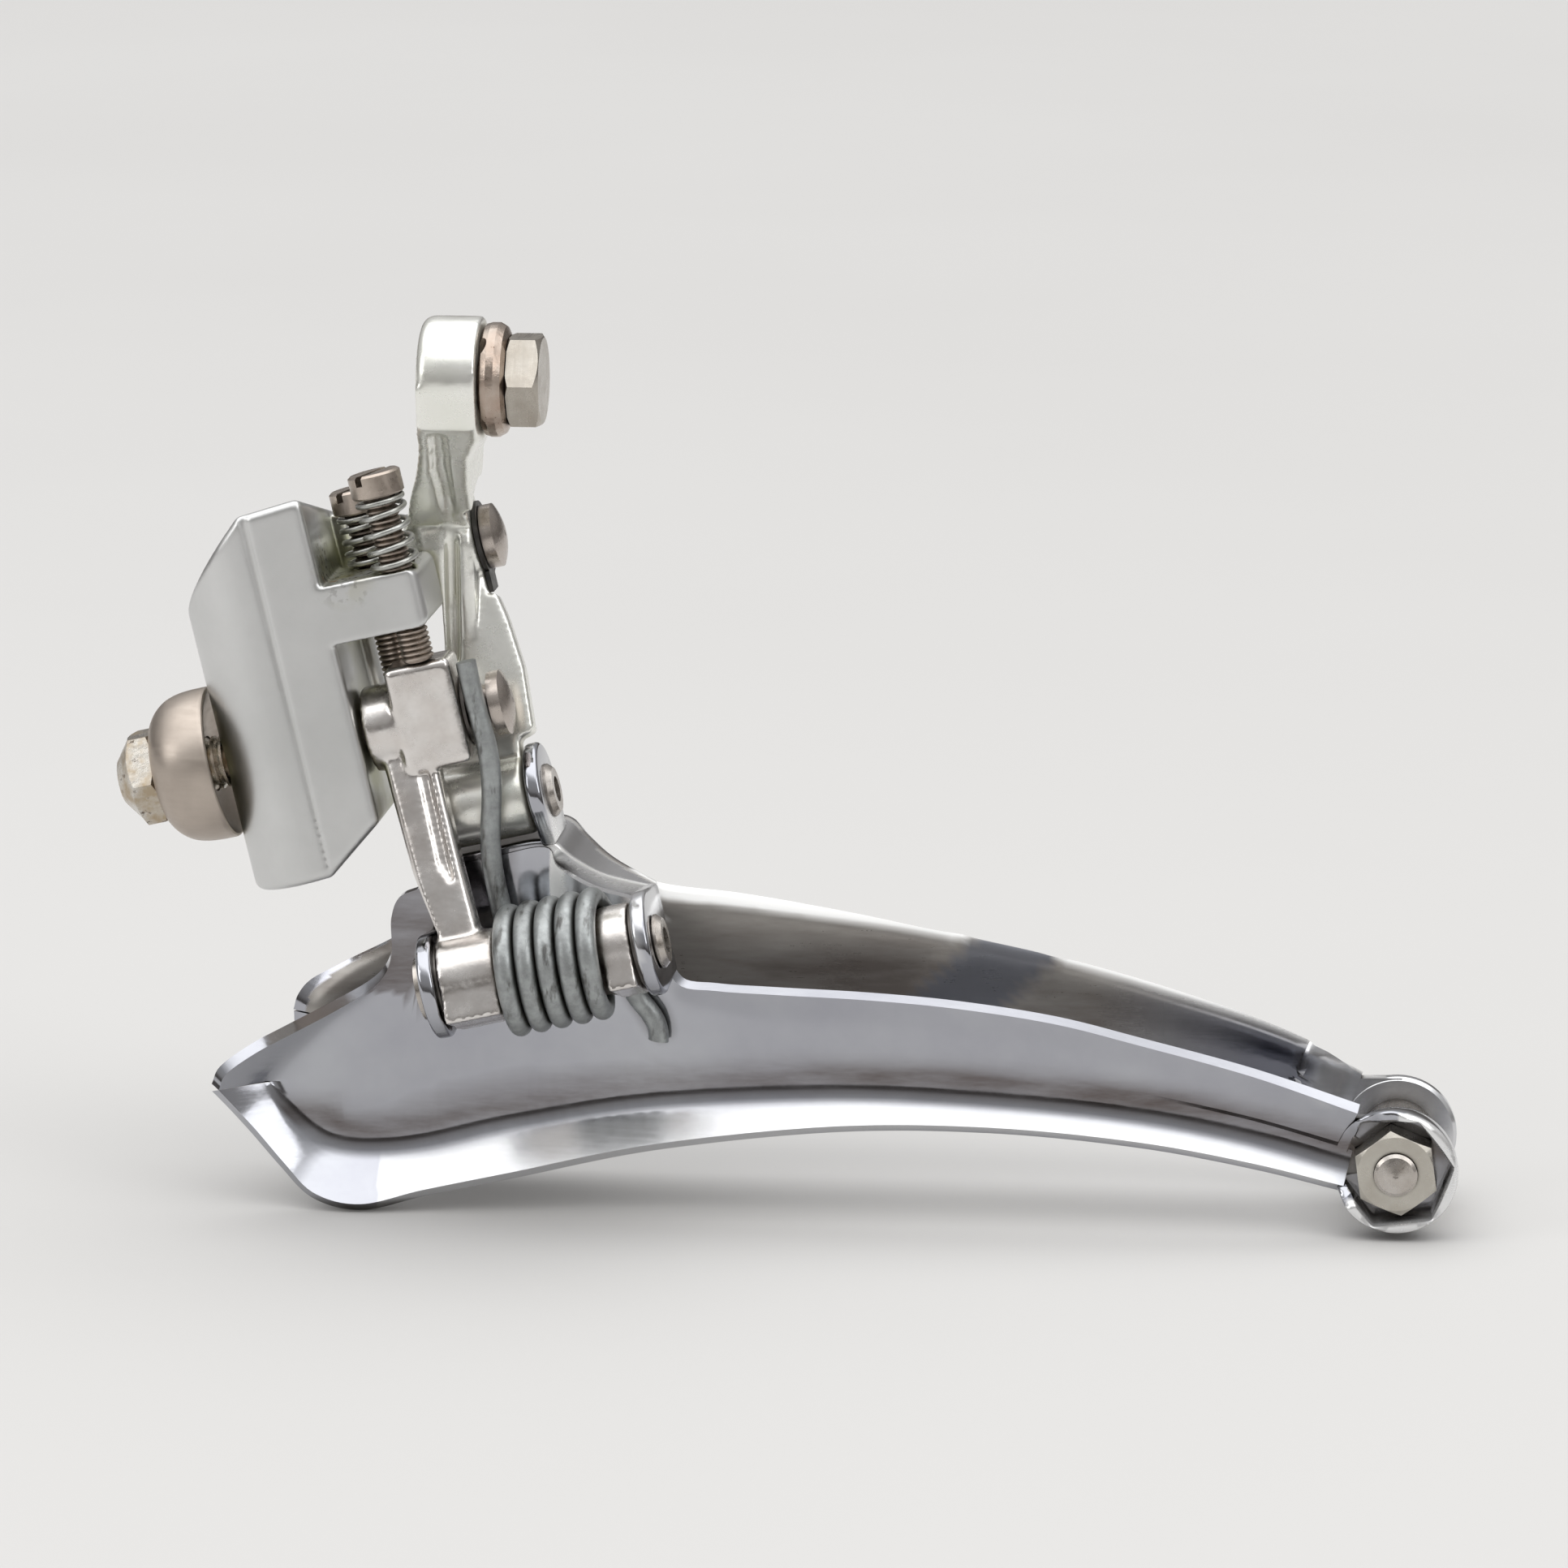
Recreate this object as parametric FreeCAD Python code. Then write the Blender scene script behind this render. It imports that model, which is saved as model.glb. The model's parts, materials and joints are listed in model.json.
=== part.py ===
import FreeCAD, Part
import math
import os

# Front derailleur for a braze-on seat-tube tab. Millimetres.
# +X runs to the rear of the bicycle (cage tail), +Y outboard (drive side), +Z up.
# The origin is where the fixing bolt's axis meets the curved seat of the block.
# Most parts are drawn in the pin frame, where x runs along the four parallel pivot
# pins, and are then tilted by PIN_TILT about Y into place. Last of all, every part
# is moved so that the seat point, SEAT in the pin frame, is at the origin.

V = FreeCAD.Vector
ORIGIN = V(0, 0, 0)
FAR = 60.0

# ---- driving dimensions -------------------------------------------------------
PIN_TILT = 13.0
SEAT = (-0.85, -0.7)            # (x, z) in the pin frame
PIVOT_ARM = (8.0, 13.7)         # (y, z) in the pin frame: cable arm on the block
PIVOT_LINK = (-2.0, -0.3)       # inner link on the block
LINK_DROP = (-8.0, -23.35)      # from either fixed pivot to its cage pivot
LINK_LENGTH = math.hypot(*LINK_DROP)
LINK_LEAN = -math.degrees(math.atan2(-LINK_DROP[0], -LINK_DROP[1]))
PIVOT_UPPER = (PIVOT_ARM[0] + LINK_DROP[0], PIVOT_ARM[1] + LINK_DROP[1])
PIVOT_LOWER = (PIVOT_LINK[0] + LINK_DROP[0], PIVOT_LINK[1] + LINK_DROP[1])
TRAVEL = 32.0                   # swing of the links, degrees

FIXED_PIN_R = 2.0
CAGE_PIN_R = 2.05
CAGE_PIN_HEAD_R = 2.9
CAGE_PIN_HOLLOW_R = 1.2
CAGE_PIN_LIP = 0.75             # length of the spread end
WASHER_GAP = 0.3                # room for a washer between an ear and a link
RUNNING = 0.05                  # radial play of a pin in a link
THREAD_PLAY = 0.04

BLOCK_END = 13.2                # back face of the block
BLOCK_HALF = 7.0                # half width, and radius of the curved seat
BLOCK_LOW = -13.1
BLOCK_HIGH = 22.9
SHELF = (8.8, 14.3)             # the arm that carries the limit screws
SHELF_END = 22.2
SHELF_FAR = 3.5
FAR_WALL_END = 14.4             # wall behind the limit screws
FAR_WALL = (4.4, -4.5, 19.2)    # its near face, bottom and top
TOP_FALL = 3.4                  # how far the block's top falls from front to back

LOW_SCREW = (20.1, -5.0)        # (x, y) in the pin frame
HIGH_SCREW = (16.7, 1.5)
LOW_TIP = 5.55
HIGH_TIP = 3.6
LOW_HEAD = 21.3
HIGH_HEAD = 19.4
SCREW_R = 1.5
SCREW_HEAD_R = 2.45
SCREW_HEAD_H = 2.2
SCREW_PITCH = 0.5
SPRING_WIRE_R = 0.26
SPRING_MEAN_R = 2.1

BOLT_R = 2.5
BOLT_PITCH = 0.8
BOLT_UNDERHEAD = -7.05          # underside of the fixing bolt's head

SHEET = 1.4                     # cage steel
INNER_FACE = -3.0               # outside face of the inner cage plate
OUTER_FACE = 9.4                # outside face of the outer cage plate
FLARE = 0.8                     # how far a rim turns out, per width of rim
BRIDGE_TOP = -13.6
TAIL = (108.6, -36.0)
TAIL_R = 5.8
TAIL_DISC_R = 5.5
TAIL_SCREW_R = 2.0
NUT_FLATS = 7.0
NUT_HEIGHT = 3.2

COIL_WIRE_R = 0.95
COIL_MEAN_R = 5.15
COIL_PITCH = 1.95
COIL_START = 22.0
LEG_FOOT = (33.45, -4.1)        # (x, y) of the lower leg where it bears on the cage
COIL_TURNS = 5
LOWER_EARS = (14.8, 35.1)       # near faces of the ears that hold the lower cage pin
UPPER_EARS = (15.3, 26.8)

ANCHOR = (-1.0, 35.5)           # (y, z) of the cable bolt; its axis runs along X
ANCHOR_FACE = 24.0
ANCHOR_BOSS_R = 5.8


# ---- helpers ------------------------------------------------------------------
def outline(points):
    """Closed face through the points."""
    return Part.Face(Part.makePolygon(points + [points[0]]))


def slab(points, y0, y1):
    """(x, z) outline, extruded along y."""
    return outline([V(x, y0, z) for x, z in points]).extrude(V(0, y1 - y0, 0))


def rail(points, x0, x1):
    """(y, z) outline, extruded along x."""
    return outline([V(x0, y, z) for y, z in points]).extrude(V(x1 - x0, 0, 0))


def box(x0, x1, y0, y1, z0, z1):
    return Part.makeBox(x1 - x0, y1 - y0, z1 - z0, V(x0, y0, z0))


def pin(radius, x0, x1, centre=(0.0, 0.0)):
    """Cylinder along x."""
    return Part.makeCylinder(radius, x1 - x0, V(x0, centre[0], centre[1]), V(1, 0, 0))


def bar(radius, y0, y1, centre):
    """Cylinder along y."""
    return Part.makeCylinder(radius, y1 - y0, V(centre[0], y0, centre[1]), V(0, 1, 0))


def post(radius, z0, z1, centre):
    """Cylinder along z."""
    return Part.makeCylinder(radius, z1 - z0, V(centre[0], centre[1], z0))


def turned(profile):
    """Solid of revolution about z, from an (r, z) outline."""
    face = outline([V(r, 0, z) for r, z in profile])
    return face.revolve(ORIGIN, V(0, 0, 1), 360)


def along_x(shape, x=0.0, centre=(0.0, 0.0)):
    """Turn a part drawn along z to run along x, and move it there."""
    shape.rotate(ORIGIN, V(0, 1, 0), 90)
    shape.translate(V(x, centre[0], centre[1]))
    return shape


def thread_profile(radius, z0, z1, pitch):
    """Edge points of a thread drawn as V rings, from z0 up to z1."""
    depth = 0.45 * pitch
    count = int((z1 - z0) / pitch)
    points = [(radius, z0)]
    for ring in range(count):
        base = z0 + ring * pitch
        points.append((radius, base + 0.3 * pitch))
        points.append((radius - depth, base + 0.65 * pitch))
        points.append((radius, base + pitch))
    if z1 - points[-1][1] > 1e-6:
        points.append((radius, z1))
    return points


def hexagon(flats, height, chamfer, domed=0.0):
    """Hexagon head along z, its outer end at +height rounded off."""
    radius = flats / math.sqrt(3)
    corners = [V(radius * math.cos(math.radians(60 * k)), radius * math.sin(math.radians(60 * k)), 0)
               for k in range(6)]
    prism = outline(corners).extrude(V(0, 0, height + domed))
    cone = turned([(0, 0), (radius - chamfer, 0), (radius, chamfer * 0.6), (radius, height - chamfer),
                   (radius - chamfer * 1.6, height), (radius * 0.45, height + domed), (0, height + domed)])
    return prism.common(cone)


def hexagon_plain(flats, height):
    radius = flats / math.sqrt(3)
    corners = [V(radius * math.cos(math.radians(60 * k)), radius * math.sin(math.radians(60 * k)), 0)
               for k in range(6)]
    return outline(corners).extrude(V(0, 0, height))


def domed_head(radius, rim, dome):
    """Rivet head along z: a short rim, then a shallow dome."""
    ball = (radius * radius + dome * dome) / (2 * dome)
    disc = Part.makeCylinder(radius, rim + dome)
    sphere = Part.makeSphere(ball, V(0, 0, rim + dome - ball))
    return disc.common(sphere.fuse(Part.makeCylinder(radius, rim))).removeSplitter()


def joined(shapes):
    return shapes[0].multiFuse(shapes[1:]).removeSplitter()


def soften(shape, radius, chosen):
    """Round the edges that chosen(edge) accepts."""
    edges = [edge for edge in shape.Edges if chosen(edge)]
    return shape.makeFillet(radius, edges)


def tilted(shape):
    """From the pin frame to the derailleur's own frame."""
    shape.rotate(ORIGIN, V(0, 1, 0), -PIN_TILT)
    return shape


def hung(shape, pivot):
    """A link drawn hanging straight down from the origin, leant back and put on its pivot."""
    shape.rotate(ORIGIN, V(1, 0, 0), LINK_LEAN)
    shape.translate(V(0, pivot[0], pivot[1]))
    return shape


def spline(points):
    curve = Part.BSplineCurve()
    curve.interpolate(points)
    return curve.toShape()


# ---- block and its fasteners --------------------------------------------------
def mounting_block():
    front = SEAT[0]
    corner = front + BLOCK_HALF
    arc = [V(corner, -BLOCK_HALF, BLOCK_LOW), V(front, 0, BLOCK_LOW), V(corner, BLOCK_HALF, BLOCK_LOW)]
    square = [arc[2], V(BLOCK_END, BLOCK_HALF, BLOCK_LOW), V(BLOCK_END, -BLOCK_HALF, BLOCK_LOW), arc[0]]
    edges = [Part.Arc(*arc).toShape()] + [Part.makeLine(a, b) for a, b in zip(square, square[1:])]
    body = Part.Face(Part.Wire(edges)).extrude(V(0, 0, BLOCK_HIGH - BLOCK_LOW))
    side = [(front - 1, BLOCK_LOW), (front - 1, 14.3), (7.0, 22.4), (BLOCK_END, BLOCK_HIGH),
            (BLOCK_END + 1, BLOCK_HIGH), (BLOCK_END + 1, -7.5), (BLOCK_END, -8.2), (7.6, -12.4)]
    body = body.common(slab(side, -FAR, FAR))
    top = [(front - 1, -FAR), (front - 1, 14.3), (7.0, 22.4), (BLOCK_END, BLOCK_HIGH), (FAR, BLOCK_HIGH),
           (FAR, -FAR)]
    front_face = outline([V(x, -BLOCK_HALF, z) for x, z in top])
    body = body.common(front_face.extrude(V(0, 2 * BLOCK_HALF, -TOP_FALL)))
    body = soften(body, 0.7, lambda edge: edge.Length > 1.0)
    shelf = box(BLOCK_END - 3, SHELF_END, -BLOCK_HALF, SHELF_FAR, SHELF[0], SHELF[1])
    shelf = soften(shelf, 1.0, lambda edge: edge.CenterOfMass.x > SHELF_END - 0.01)
    near, low, high = FAR_WALL
    far_wall = box(BLOCK_END - 3, FAR_WALL_END, near, BLOCK_HALF, low, high)
    far_wall = soften(far_wall, 1.0, lambda edge: edge.CenterOfMass.x > FAR_WALL_END - 0.1)
    lobe = pin(5.2, BLOCK_HALF, BLOCK_END, PIVOT_ARM)
    lobe = soften(lobe, 0.8, lambda edge: edge.Length > 20)
    nose = pin(3.7, BLOCK_END - 1, 15.6, PIVOT_ARM)
    body = joined([body, shelf, far_wall, lobe, nose])
    groove = slab([(7.15, 24), (8.0, 24), (7.75, -14), (7.4, -14)], -8, -BLOCK_HALF + 0.3)
    cuts = [groove, pin(BOLT_R + THREAD_PLAY, front - 1, 7.5, (0, SEAT[1])),
            pin(FIXED_PIN_R, 8.2, 20, PIVOT_LINK), pin(FIXED_PIN_R, 8.2, 20, PIVOT_ARM),
            post(SCREW_R + THREAD_PLAY, 0, 20, LOW_SCREW), post(SCREW_R + THREAD_PLAY, 0, 20, HIGH_SCREW)]
    for cut in cuts:
        body = body.cut(cut)
    return tilted(body)


def fixing_bolt():
    """M5 bolt, driven from the front into the block."""
    length = 14.3
    profile = [(0, 0)] + thread_profile(BOLT_R, 0, 13.0, BOLT_PITCH) + [(BOLT_R, length), (0, length)]
    profile = [(r, length - z) for r, z in reversed(profile)]
    shank = along_x(turned(profile), BOLT_UNDERHEAD, (0, SEAT[1]))
    head = hexagon(8.2, 2.5, 0.5, 1.4)
    head.rotate(ORIGIN, V(0, 1, 0), -90)
    head.rotate(ORIGIN, V(1, 0, 0), 30)
    head.translate(V(BOLT_UNDERHEAD + 0.01, 0, SEAT[1]))
    return tilted(shank.fuse(head).removeSplitter())


def fixing_washer():
    """Deep domed washer, hollow on the side that bears on the tab."""
    bore = BOLT_R + 0.1
    profile = [(bore, 0), (4.8, 0), (5.3, 0.2), (6.1, 0.9), (6.7, 1.8), (7.05, 2.9), (7.15, 4.2),
               (7.15, 5.75), (7.0, 5.95), (6.55, 5.95), (4.6, 4.9), (bore, 4.7)]
    return tilted(along_x(turned(profile), BOLT_UNDERHEAD + 0.05, (0, SEAT[1])))


def rivet_pin(pivot, head_start, head_r):
    """Plain pin pressed into the block, with a domed head at its free end."""
    shank = pin(FIXED_PIN_R, 8.4, head_start + 0.2, pivot)
    head = along_x(domed_head(head_r, 1.1, 0.75), head_start, pivot)
    return tilted(shank.fuse(head).removeSplitter())


def ring(outer, inner, x0, x1, pivot):
    return pin(outer, x0, x1, pivot).cut(pin(inner, x0 - 1, x1 + 1, pivot))


def cable_arm_washer():
    """Blackened spring washer with a small locating tab."""
    body = ring(3.5, FIXED_PIN_R + RUNNING, 26.0, 26.4, PIVOT_ARM)
    tab = box(26.0, 26.4, PIVOT_ARM[0] - 2.2, PIVOT_ARM[0] + 0.6, PIVOT_ARM[1] - 4.9, PIVOT_ARM[1] - 2.9)
    return tilted(body.fuse(tab).removeSplitter())


def inner_link_washer():
    return tilted(ring(3.3, FIXED_PIN_R + RUNNING, 22.97, 23.27, PIVOT_LINK))


def limit_screw(place, tip, head):
    """M3 slotted screw, tip down."""
    profile = [(0, tip), (SCREW_R - 0.35, tip)] + thread_profile(SCREW_R, tip + 0.3, head, SCREW_PITCH)
    profile += [(SCREW_HEAD_R - 0.15, head), (SCREW_HEAD_R, head + 0.15)]
    profile += [(SCREW_HEAD_R, head + SCREW_HEAD_H - 0.2), (SCREW_HEAD_R - 0.25, head + SCREW_HEAD_H)]
    profile += [(0, head + SCREW_HEAD_H)]
    screw = turned(profile)
    slot = box(-4, 4, -0.35, 0.35, head + SCREW_HEAD_H - 0.9, head + 4)
    slot.rotate(ORIGIN, V(0, 0, 1), 62)
    screw = screw.cut(slot)
    screw.translate(V(place[0], place[1], 0))
    return tilted(screw)


def limit_spring(place, head):
    """Open coil spring between the shelf and a screw head."""
    clear = SPRING_WIRE_R + 0.06
    height = head - SHELF[1] - 2 * clear
    helix = Part.makeHelix(height / 4.0, height, SPRING_MEAN_R)
    section = [V(SPRING_MEAN_R + SPRING_WIRE_R * math.cos(math.pi * k / 4), 0,
                 SPRING_WIRE_R * math.sin(math.pi * k / 4)) for k in range(8)]
    wire = Part.Wire(Part.makePolygon(section + [section[0]]))
    coil = Part.Wire(helix).makePipeShell([wire], True, True)
    coil.translate(V(place[0], place[1], SHELF[1] + clear))
    return tilted(coil)


# ---- cable arm (outer link) ---------------------------------------------------
def outer_web():
    """Thin plate from the arm's hub down to the barrel of the upper cage pin."""
    drop = -LINK_LENGTH
    points = [(23.0, 3.0), (25.9, 3.0), (26.1, -3.0), (27.3, -8.0), (28.0, -13.0), (27.9, -19.0),
              (26.4, -19.5), (26.4, drop), (17.2, drop), (17.4, drop + 3.0), (19.6, -19.0), (21.4, -12.0),
              (22.6, -5.0)]
    return slab(points, -1.1, 1.1)


def arm_lever():
    """Cranked lever from the hub up to the cable bolt, the overlap of its side and end views."""
    side = [(15.4, 16.5), (22.2, 16.5), (22.35, 20.0), (22.2, 24.6), (22.7, 28.2), (24.0, 30.4),
            (24.0, 42.0), (18.4, 42.0), (18.5, 32.5), (18.1, 29.0), (17.4, 26.4), (16.3, 23.4), (15.6, 20.5)]
    end = [(5.6, 16.2), (11.4, 16.2), (11.4, 20.8), (8.3, 27.5), (5.0, 32.0), (4.8, 35.5), (-6.8, 35.5),
           (-6.2, 31.6), (-2.2, 28.2), (1.9, 24.0), (5.2, 20.2)]
    lever = slab(side, -FAR, FAR).common(rail(end, 0, FAR))
    boss = pin(ANCHOR_BOSS_R, 18.4, ANCHOR_FACE, ANCHOR)
    boss = soften(boss, 1.1, lambda edge: edge.CenterOfMass.x < 18.5 and edge.Length > 20)
    return lever, boss


def arm_column():
    """Thick front of the arm from the lever down past the hub, clear of the shelf as it swings."""
    side = [(20.6, 17.4), (25.6, 15.0), (25.3, 11.0), (24.3, 6.0), (23.4, 1.0), (20.4, 1.0), (20.9, 5.0),
            (21.6, 9.0), (21.0, 13.0)]
    end = [(8.0, 17.2), (5.4, 17.2), (4.4, 15.6), (4.0, 14.2), (3.95, 13.0), (3.95, 9.0), (3.8, 5.0),
           (3.3, 1.5), (5.0, 1.0), (6.8, 6.0), (8.2, 11.0)]
    return tilted(slab(side, -FAR, FAR).common(rail(end, 0, FAR)))


def lever_groove():
    """Channel down the inboard face of the lever and the column."""
    depth = 0.9
    side = [(19.6, 31.0), (21.0, 31.0), (20.6, 27.0), (20.7, 8.0), (19.6, 8.0), (19.3, 23.5), (19.1, 27.0)]
    face = [(-6.2, 31.6), (-2.2, 28.2), (1.7, 24.0), (3.3, 21.5), (3.9, 18.5), (3.95, 14.0), (3.6, 8.0)]
    end = [(y - 3.0, z) for y, z in face] + [(y + depth, z) for y, z in reversed(face)]
    return slab(side, -FAR, FAR).common(rail(end, 0, FAR))


def cable_arm():
    hub = pin(3.6, 15.9, 25.9)
    barrel = pin(3.6, 17.0, 26.5, (0, -LINK_LENGTH))
    barrel = soften(barrel, 0.4, lambda edge: edge.Length > 15)
    lower = joined([hub, outer_web(), barrel])
    lower = lower.cut(pin(CAGE_PIN_R + RUNNING, 10, 30, (0, -LINK_LENGTH)))
    lower = tilted(hung(lower, PIVOT_ARM))
    lever, boss = arm_lever()
    body = joined([lower, lever, boss, arm_column()]).cut(lever_groove())
    body = body.cut(tilted(pin(5.6, 25.9, 32, PIVOT_ARM)))
    body = body.cut(tilted(pin(FIXED_PIN_R + RUNNING, 10, 30, PIVOT_ARM)))
    return body.cut(pin(BOLT_R + THREAD_PLAY, 17, 25, ANCHOR))


def anchor_bolt():
    profile = [(0, 0)] + thread_profile(BOLT_R, 0, 5.0, BOLT_PITCH) + [(BOLT_R, 7.8), (0, 7.8)]
    shank = along_x(turned(profile), 18.8, ANCHOR)
    head = along_x(hexagon(8.0, 3.0, 0.45), 26.55, ANCHOR)
    head.rotate(V(0, ANCHOR[0], ANCHOR[1]), V(1, 0, 0), 30)
    return shank.fuse(head).removeSplitter()


def anchor_washer():
    """Thick round-edged washer with a groove for the cable on its inner face."""
    bore = BOLT_R + 0.1
    profile = [(bore, 0), (4.6, 0), (5.1, 0.3), (5.25, 0.8), (5.25, 1.5), (4.9, 2.1), (4.2, 2.4), (bore, 2.4)]
    washer = along_x(turned(profile), ANCHOR_FACE + 0.06, ANCHOR)
    cable = Part.makeCylinder(0.7, 20, V(ANCHOR_FACE + 0.1, ANCHOR[0] - 3.5, ANCHOR[1] - 10))
    return washer.cut(cable)


# ---- inner link ---------------------------------------------------------------
def link_head():
    """Square head on the block pin: its top is the stop for the low screw, its lug for the high one."""
    y, z = PIVOT_LINK
    head = box(16.6, 22.9, -6.0, -0.6, -4.6, LOW_TIP - 0.1)
    head = soften(head, 0.6, lambda edge: edge.Length > 1.0)
    core = pin(3.4, 16.0, 22.9, PIVOT_LINK)
    collar = pin(4.0, 13.55, 16.7, PIVOT_LINK)
    top = HIGH_TIP - z - 0.25
    lug = rail([(0.0, 0.0), (1.2, top), (4.6, top), (4.6, top - 1.6), (2.0, -1.5)], 15.3, 17.9)
    lug.rotate(ORIGIN, V(1, 0, 0), -TRAVEL)
    lug.translate(V(0, y, z))
    return [head, core, collar, lug]


def inner_link():
    drop = -LINK_LENGTH
    side = [(14.3, -2.0), (19.4, -2.0), (20.1, -14.0), (21.0, drop), (17.1, drop), (16.8, drop + 4.5),
            (15.4, -14.0)]
    arm = soften(slab(side, -2.2, 0.9), 0.8, lambda edge: edge.Length > 8)
    channel = slab([(17.6, -5.0), (18.7, -5.0), (19.2, -14.0), (19.2, -16.4), (18.0, -14.0)], -3.0, -1.7)
    start = LOWER_EARS[0] + SHEET + WASHER_GAP
    finish = LOWER_EARS[1] - WASHER_GAP - 0.1
    left = pin(4.3, start, COIL_START - 0.1, (0, drop))
    foot = box(start, COIL_START - 0.1, -4.1, 2.6, drop - 4.2, drop - 1.0)
    core = pin(3.9, COIL_START - 0.2, COIL_START + 9.9, (0, drop))
    right = pin(4.1, COIL_START + 9.9, finish, (0, drop))
    heel = box(COIL_START + 9.9, finish, -4.1, 2.6, drop - 4.2, drop - 1.0)
    lower = joined([arm.cut(channel), left, foot, core, right, heel])
    body = joined([hung(lower, PIVOT_LINK)] + link_head())
    body = body.cut(pin(FIXED_PIN_R + RUNNING, 0, 40, PIVOT_LINK))
    return tilted(body.cut(pin(CAGE_PIN_R + RUNNING, 0, 40, PIVOT_LOWER)))


def return_spring():
    """Torsion spring round the lower barrel: one leg up past the block pin, one down on the cage."""
    y, z = PIVOT_LOWER
    back = y + COIL_MEAN_R
    steps = 12
    path = [V(24.35, -5.05, 4.6), V(24.35, -5.05, 0.0), V(24.35, -5.05, -4.4), V(23.95, back - 0.05, -7.2),
            V(22.4, back, -13.4), V(COIL_START + 0.1, back, z + 4.5)]
    for step in range(COIL_TURNS * steps + 1):
        turn = step / steps
        angle = 2 * math.pi * turn
        path.append(V(COIL_START + COIL_PITCH * turn, y + COIL_MEAN_R * math.cos(angle),
                      z - COIL_MEAN_R * math.sin(angle)))
    finish = path[-1].x
    foot_x, foot_y = LEG_FOOT
    path += [V(finish + 0.5, back, z - 2.6), V(foot_x - 1.1, foot_y - 0.15, z - 5.6),
             V(foot_x - 0.2, foot_y, z - 7.6), V(foot_x, foot_y, z - 10.4)]
    wire = Part.Wire(Part.makeCircle(COIL_WIRE_R, path[0], path[1] - path[0]))
    return tilted(Part.Wire(spline(path)).makePipeShell([wire], True, True))


# ---- cage ---------------------------------------------------------------------
def rim_band(stations, face, side):
    """Flared rim of a cage plate. A station is (edge, crease), both (x, z); side is -1 or +1 along y."""
    slope = math.atan(FLARE)
    out = SHEET * math.sin(slope)
    back = -side * SHEET * math.cos(slope)
    rows = [[], [], [], []]
    for edge, crease in stations:
        gap = V(edge[0] - crease[0], 0, edge[1] - crease[1])
        width = gap.Length
        unit = gap * (1 / width)
        fold = V(crease[0], face, crease[1])
        lip = fold + unit * (width - out) + V(0, side * FLARE * (width - out), 0)
        shift = unit * out + V(0, back, 0)
        for row, point in zip(rows, [fold, lip, lip + shift, fold + shift]):
            row.append(point)
    curves = [spline(row) for row in rows]
    faces = [Part.makeRuledSurface(curves[k], curves[(k + 1) % 4]) for k in range(4)]
    faces.append(outline([row[0] for row in rows]))
    faces.append(outline([row[-1] for row in rows]))
    shell = Part.makeShell(faces)
    shell.sewShape()
    solid = Part.makeSolid(shell)
    solid.fix(0.001, 0.001, 0.001)
    if solid.Volume < 0:
        solid.reverse()
    return solid


def fold_line(stations):
    """The creases of a rim, pushed a little into the rim so that plate and rim overlap."""
    points = []
    for edge, crease in stations:
        gap = V(edge[0] - crease[0], 0, edge[1] - crease[1])
        points.append(V(crease[0], 0, crease[1]) + gap * (min(0.5, 0.45 * gap.Length) / gap.Length))
    return points


def flat_plate(lines, face, side):
    """Flat web inside a chain of splines and straight closing lines, SHEET thick."""
    edges = []
    for index, line in enumerate(lines):
        edges.append(spline(line))
        following = lines[(index + 1) % len(lines)][0]
        if (following - line[-1]).Length > 1e-6:
            edges.append(Part.makeLine(line[-1], following))
    web = Part.Face(Part.Wire(edges)).extrude(V(0, -side * SHEET, 0))
    web.translate(V(0, face, 0))
    return web


INNER_TIP = ((-1.7, -31.0), (3.4, -30.9))
INNER_BOTTOM = [INNER_TIP, ((1.2, -34.7), (5.0, -33.2)), ((4.6, -38.7), (7.4, -35.5)),
                ((7.8, -41.5), (9.6, -36.7)), ((12.4, -42.4), (12.9, -37.0)), ((18.5, -41.0), (17.9, -36.4)),
                ((27.0, -39.0), (26.3, -34.3)), ((40.0, -36.1), (39.6, -31.9)), ((56.6, -34.1), (56.4, -30.7)),
                ((71.0, -33.9), (71.0, -31.0)), ((84.5, -34.9), (84.7, -32.1)), ((95.0, -36.6), (95.4, -33.9)),
                ((103.6, -38.6), (104.2, -36.2))]
INNER_NOSE_TOP = [((13.3, -20.4), (13.9, -21.4)), ((9.1, -23.2), (9.9, -24.6)), ((5.3, -25.2), (7.0, -27.3)),
                  ((2.0, -27.0), (5.2, -29.1)), ((-0.9, -29.2), (4.0, -30.3)), INNER_TIP]
INNER_TAIL_TOP = [((105.2, -30.4), (104.6, -32.0)), ((95.4, -27.3), (95.0, -28.7)), ((84.7, -24.6), (84.3, -26.0)),
                  ((77.0, -22.8), (76.7, -24.2)), ((68.2, -21.6), (68.0, -22.9)), ((60.0, -21.0), (60.0, -22.2)),
                  ((51.0, -20.7), (51.0, -21.8)), ((41.0, -20.4), (41.0, -21.3))]
OUTER_TOP = [((38.5, -13.6), (38.4, -16.0)), ((46.7, -14.5), (46.4, -16.8)), ((55.4, -15.7), (55.0, -17.9)),
             ((64.0, -17.1), (63.6, -19.2)), ((75.6, -19.4), (75.1, -21.4)), ((86.8, -22.3), (86.2, -24.1)),
             ((98.6, -26.3), (97.8, -28.0)), ((105.2, -30.4), (104.4, -31.9))]
OUTER_BOTTOM = [((104.0, -38.2), (104.4, -36.4)), ((95.0, -35.6), (95.3, -33.6)), ((84.0, -33.4), (84.2, -31.2)),
                ((62.0, -32.0), (62.1, -29.7)), ((40.0, -33.6), (39.7, -31.2)), ((24.0, -36.6), (23.4, -34.0)),
                ((13.0, -37.4), (13.5, -34.8)), ((7.6, -34.6), (9.3, -32.4)), ((4.6, -30.6), (6.9, -29.4)),
                ((3.6, -27.2), (6.2, -27.0)), ((5.4, -23.9), (7.1, -25.3)), ((14.2, -19.0), (15.0, -20.4))]
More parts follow.
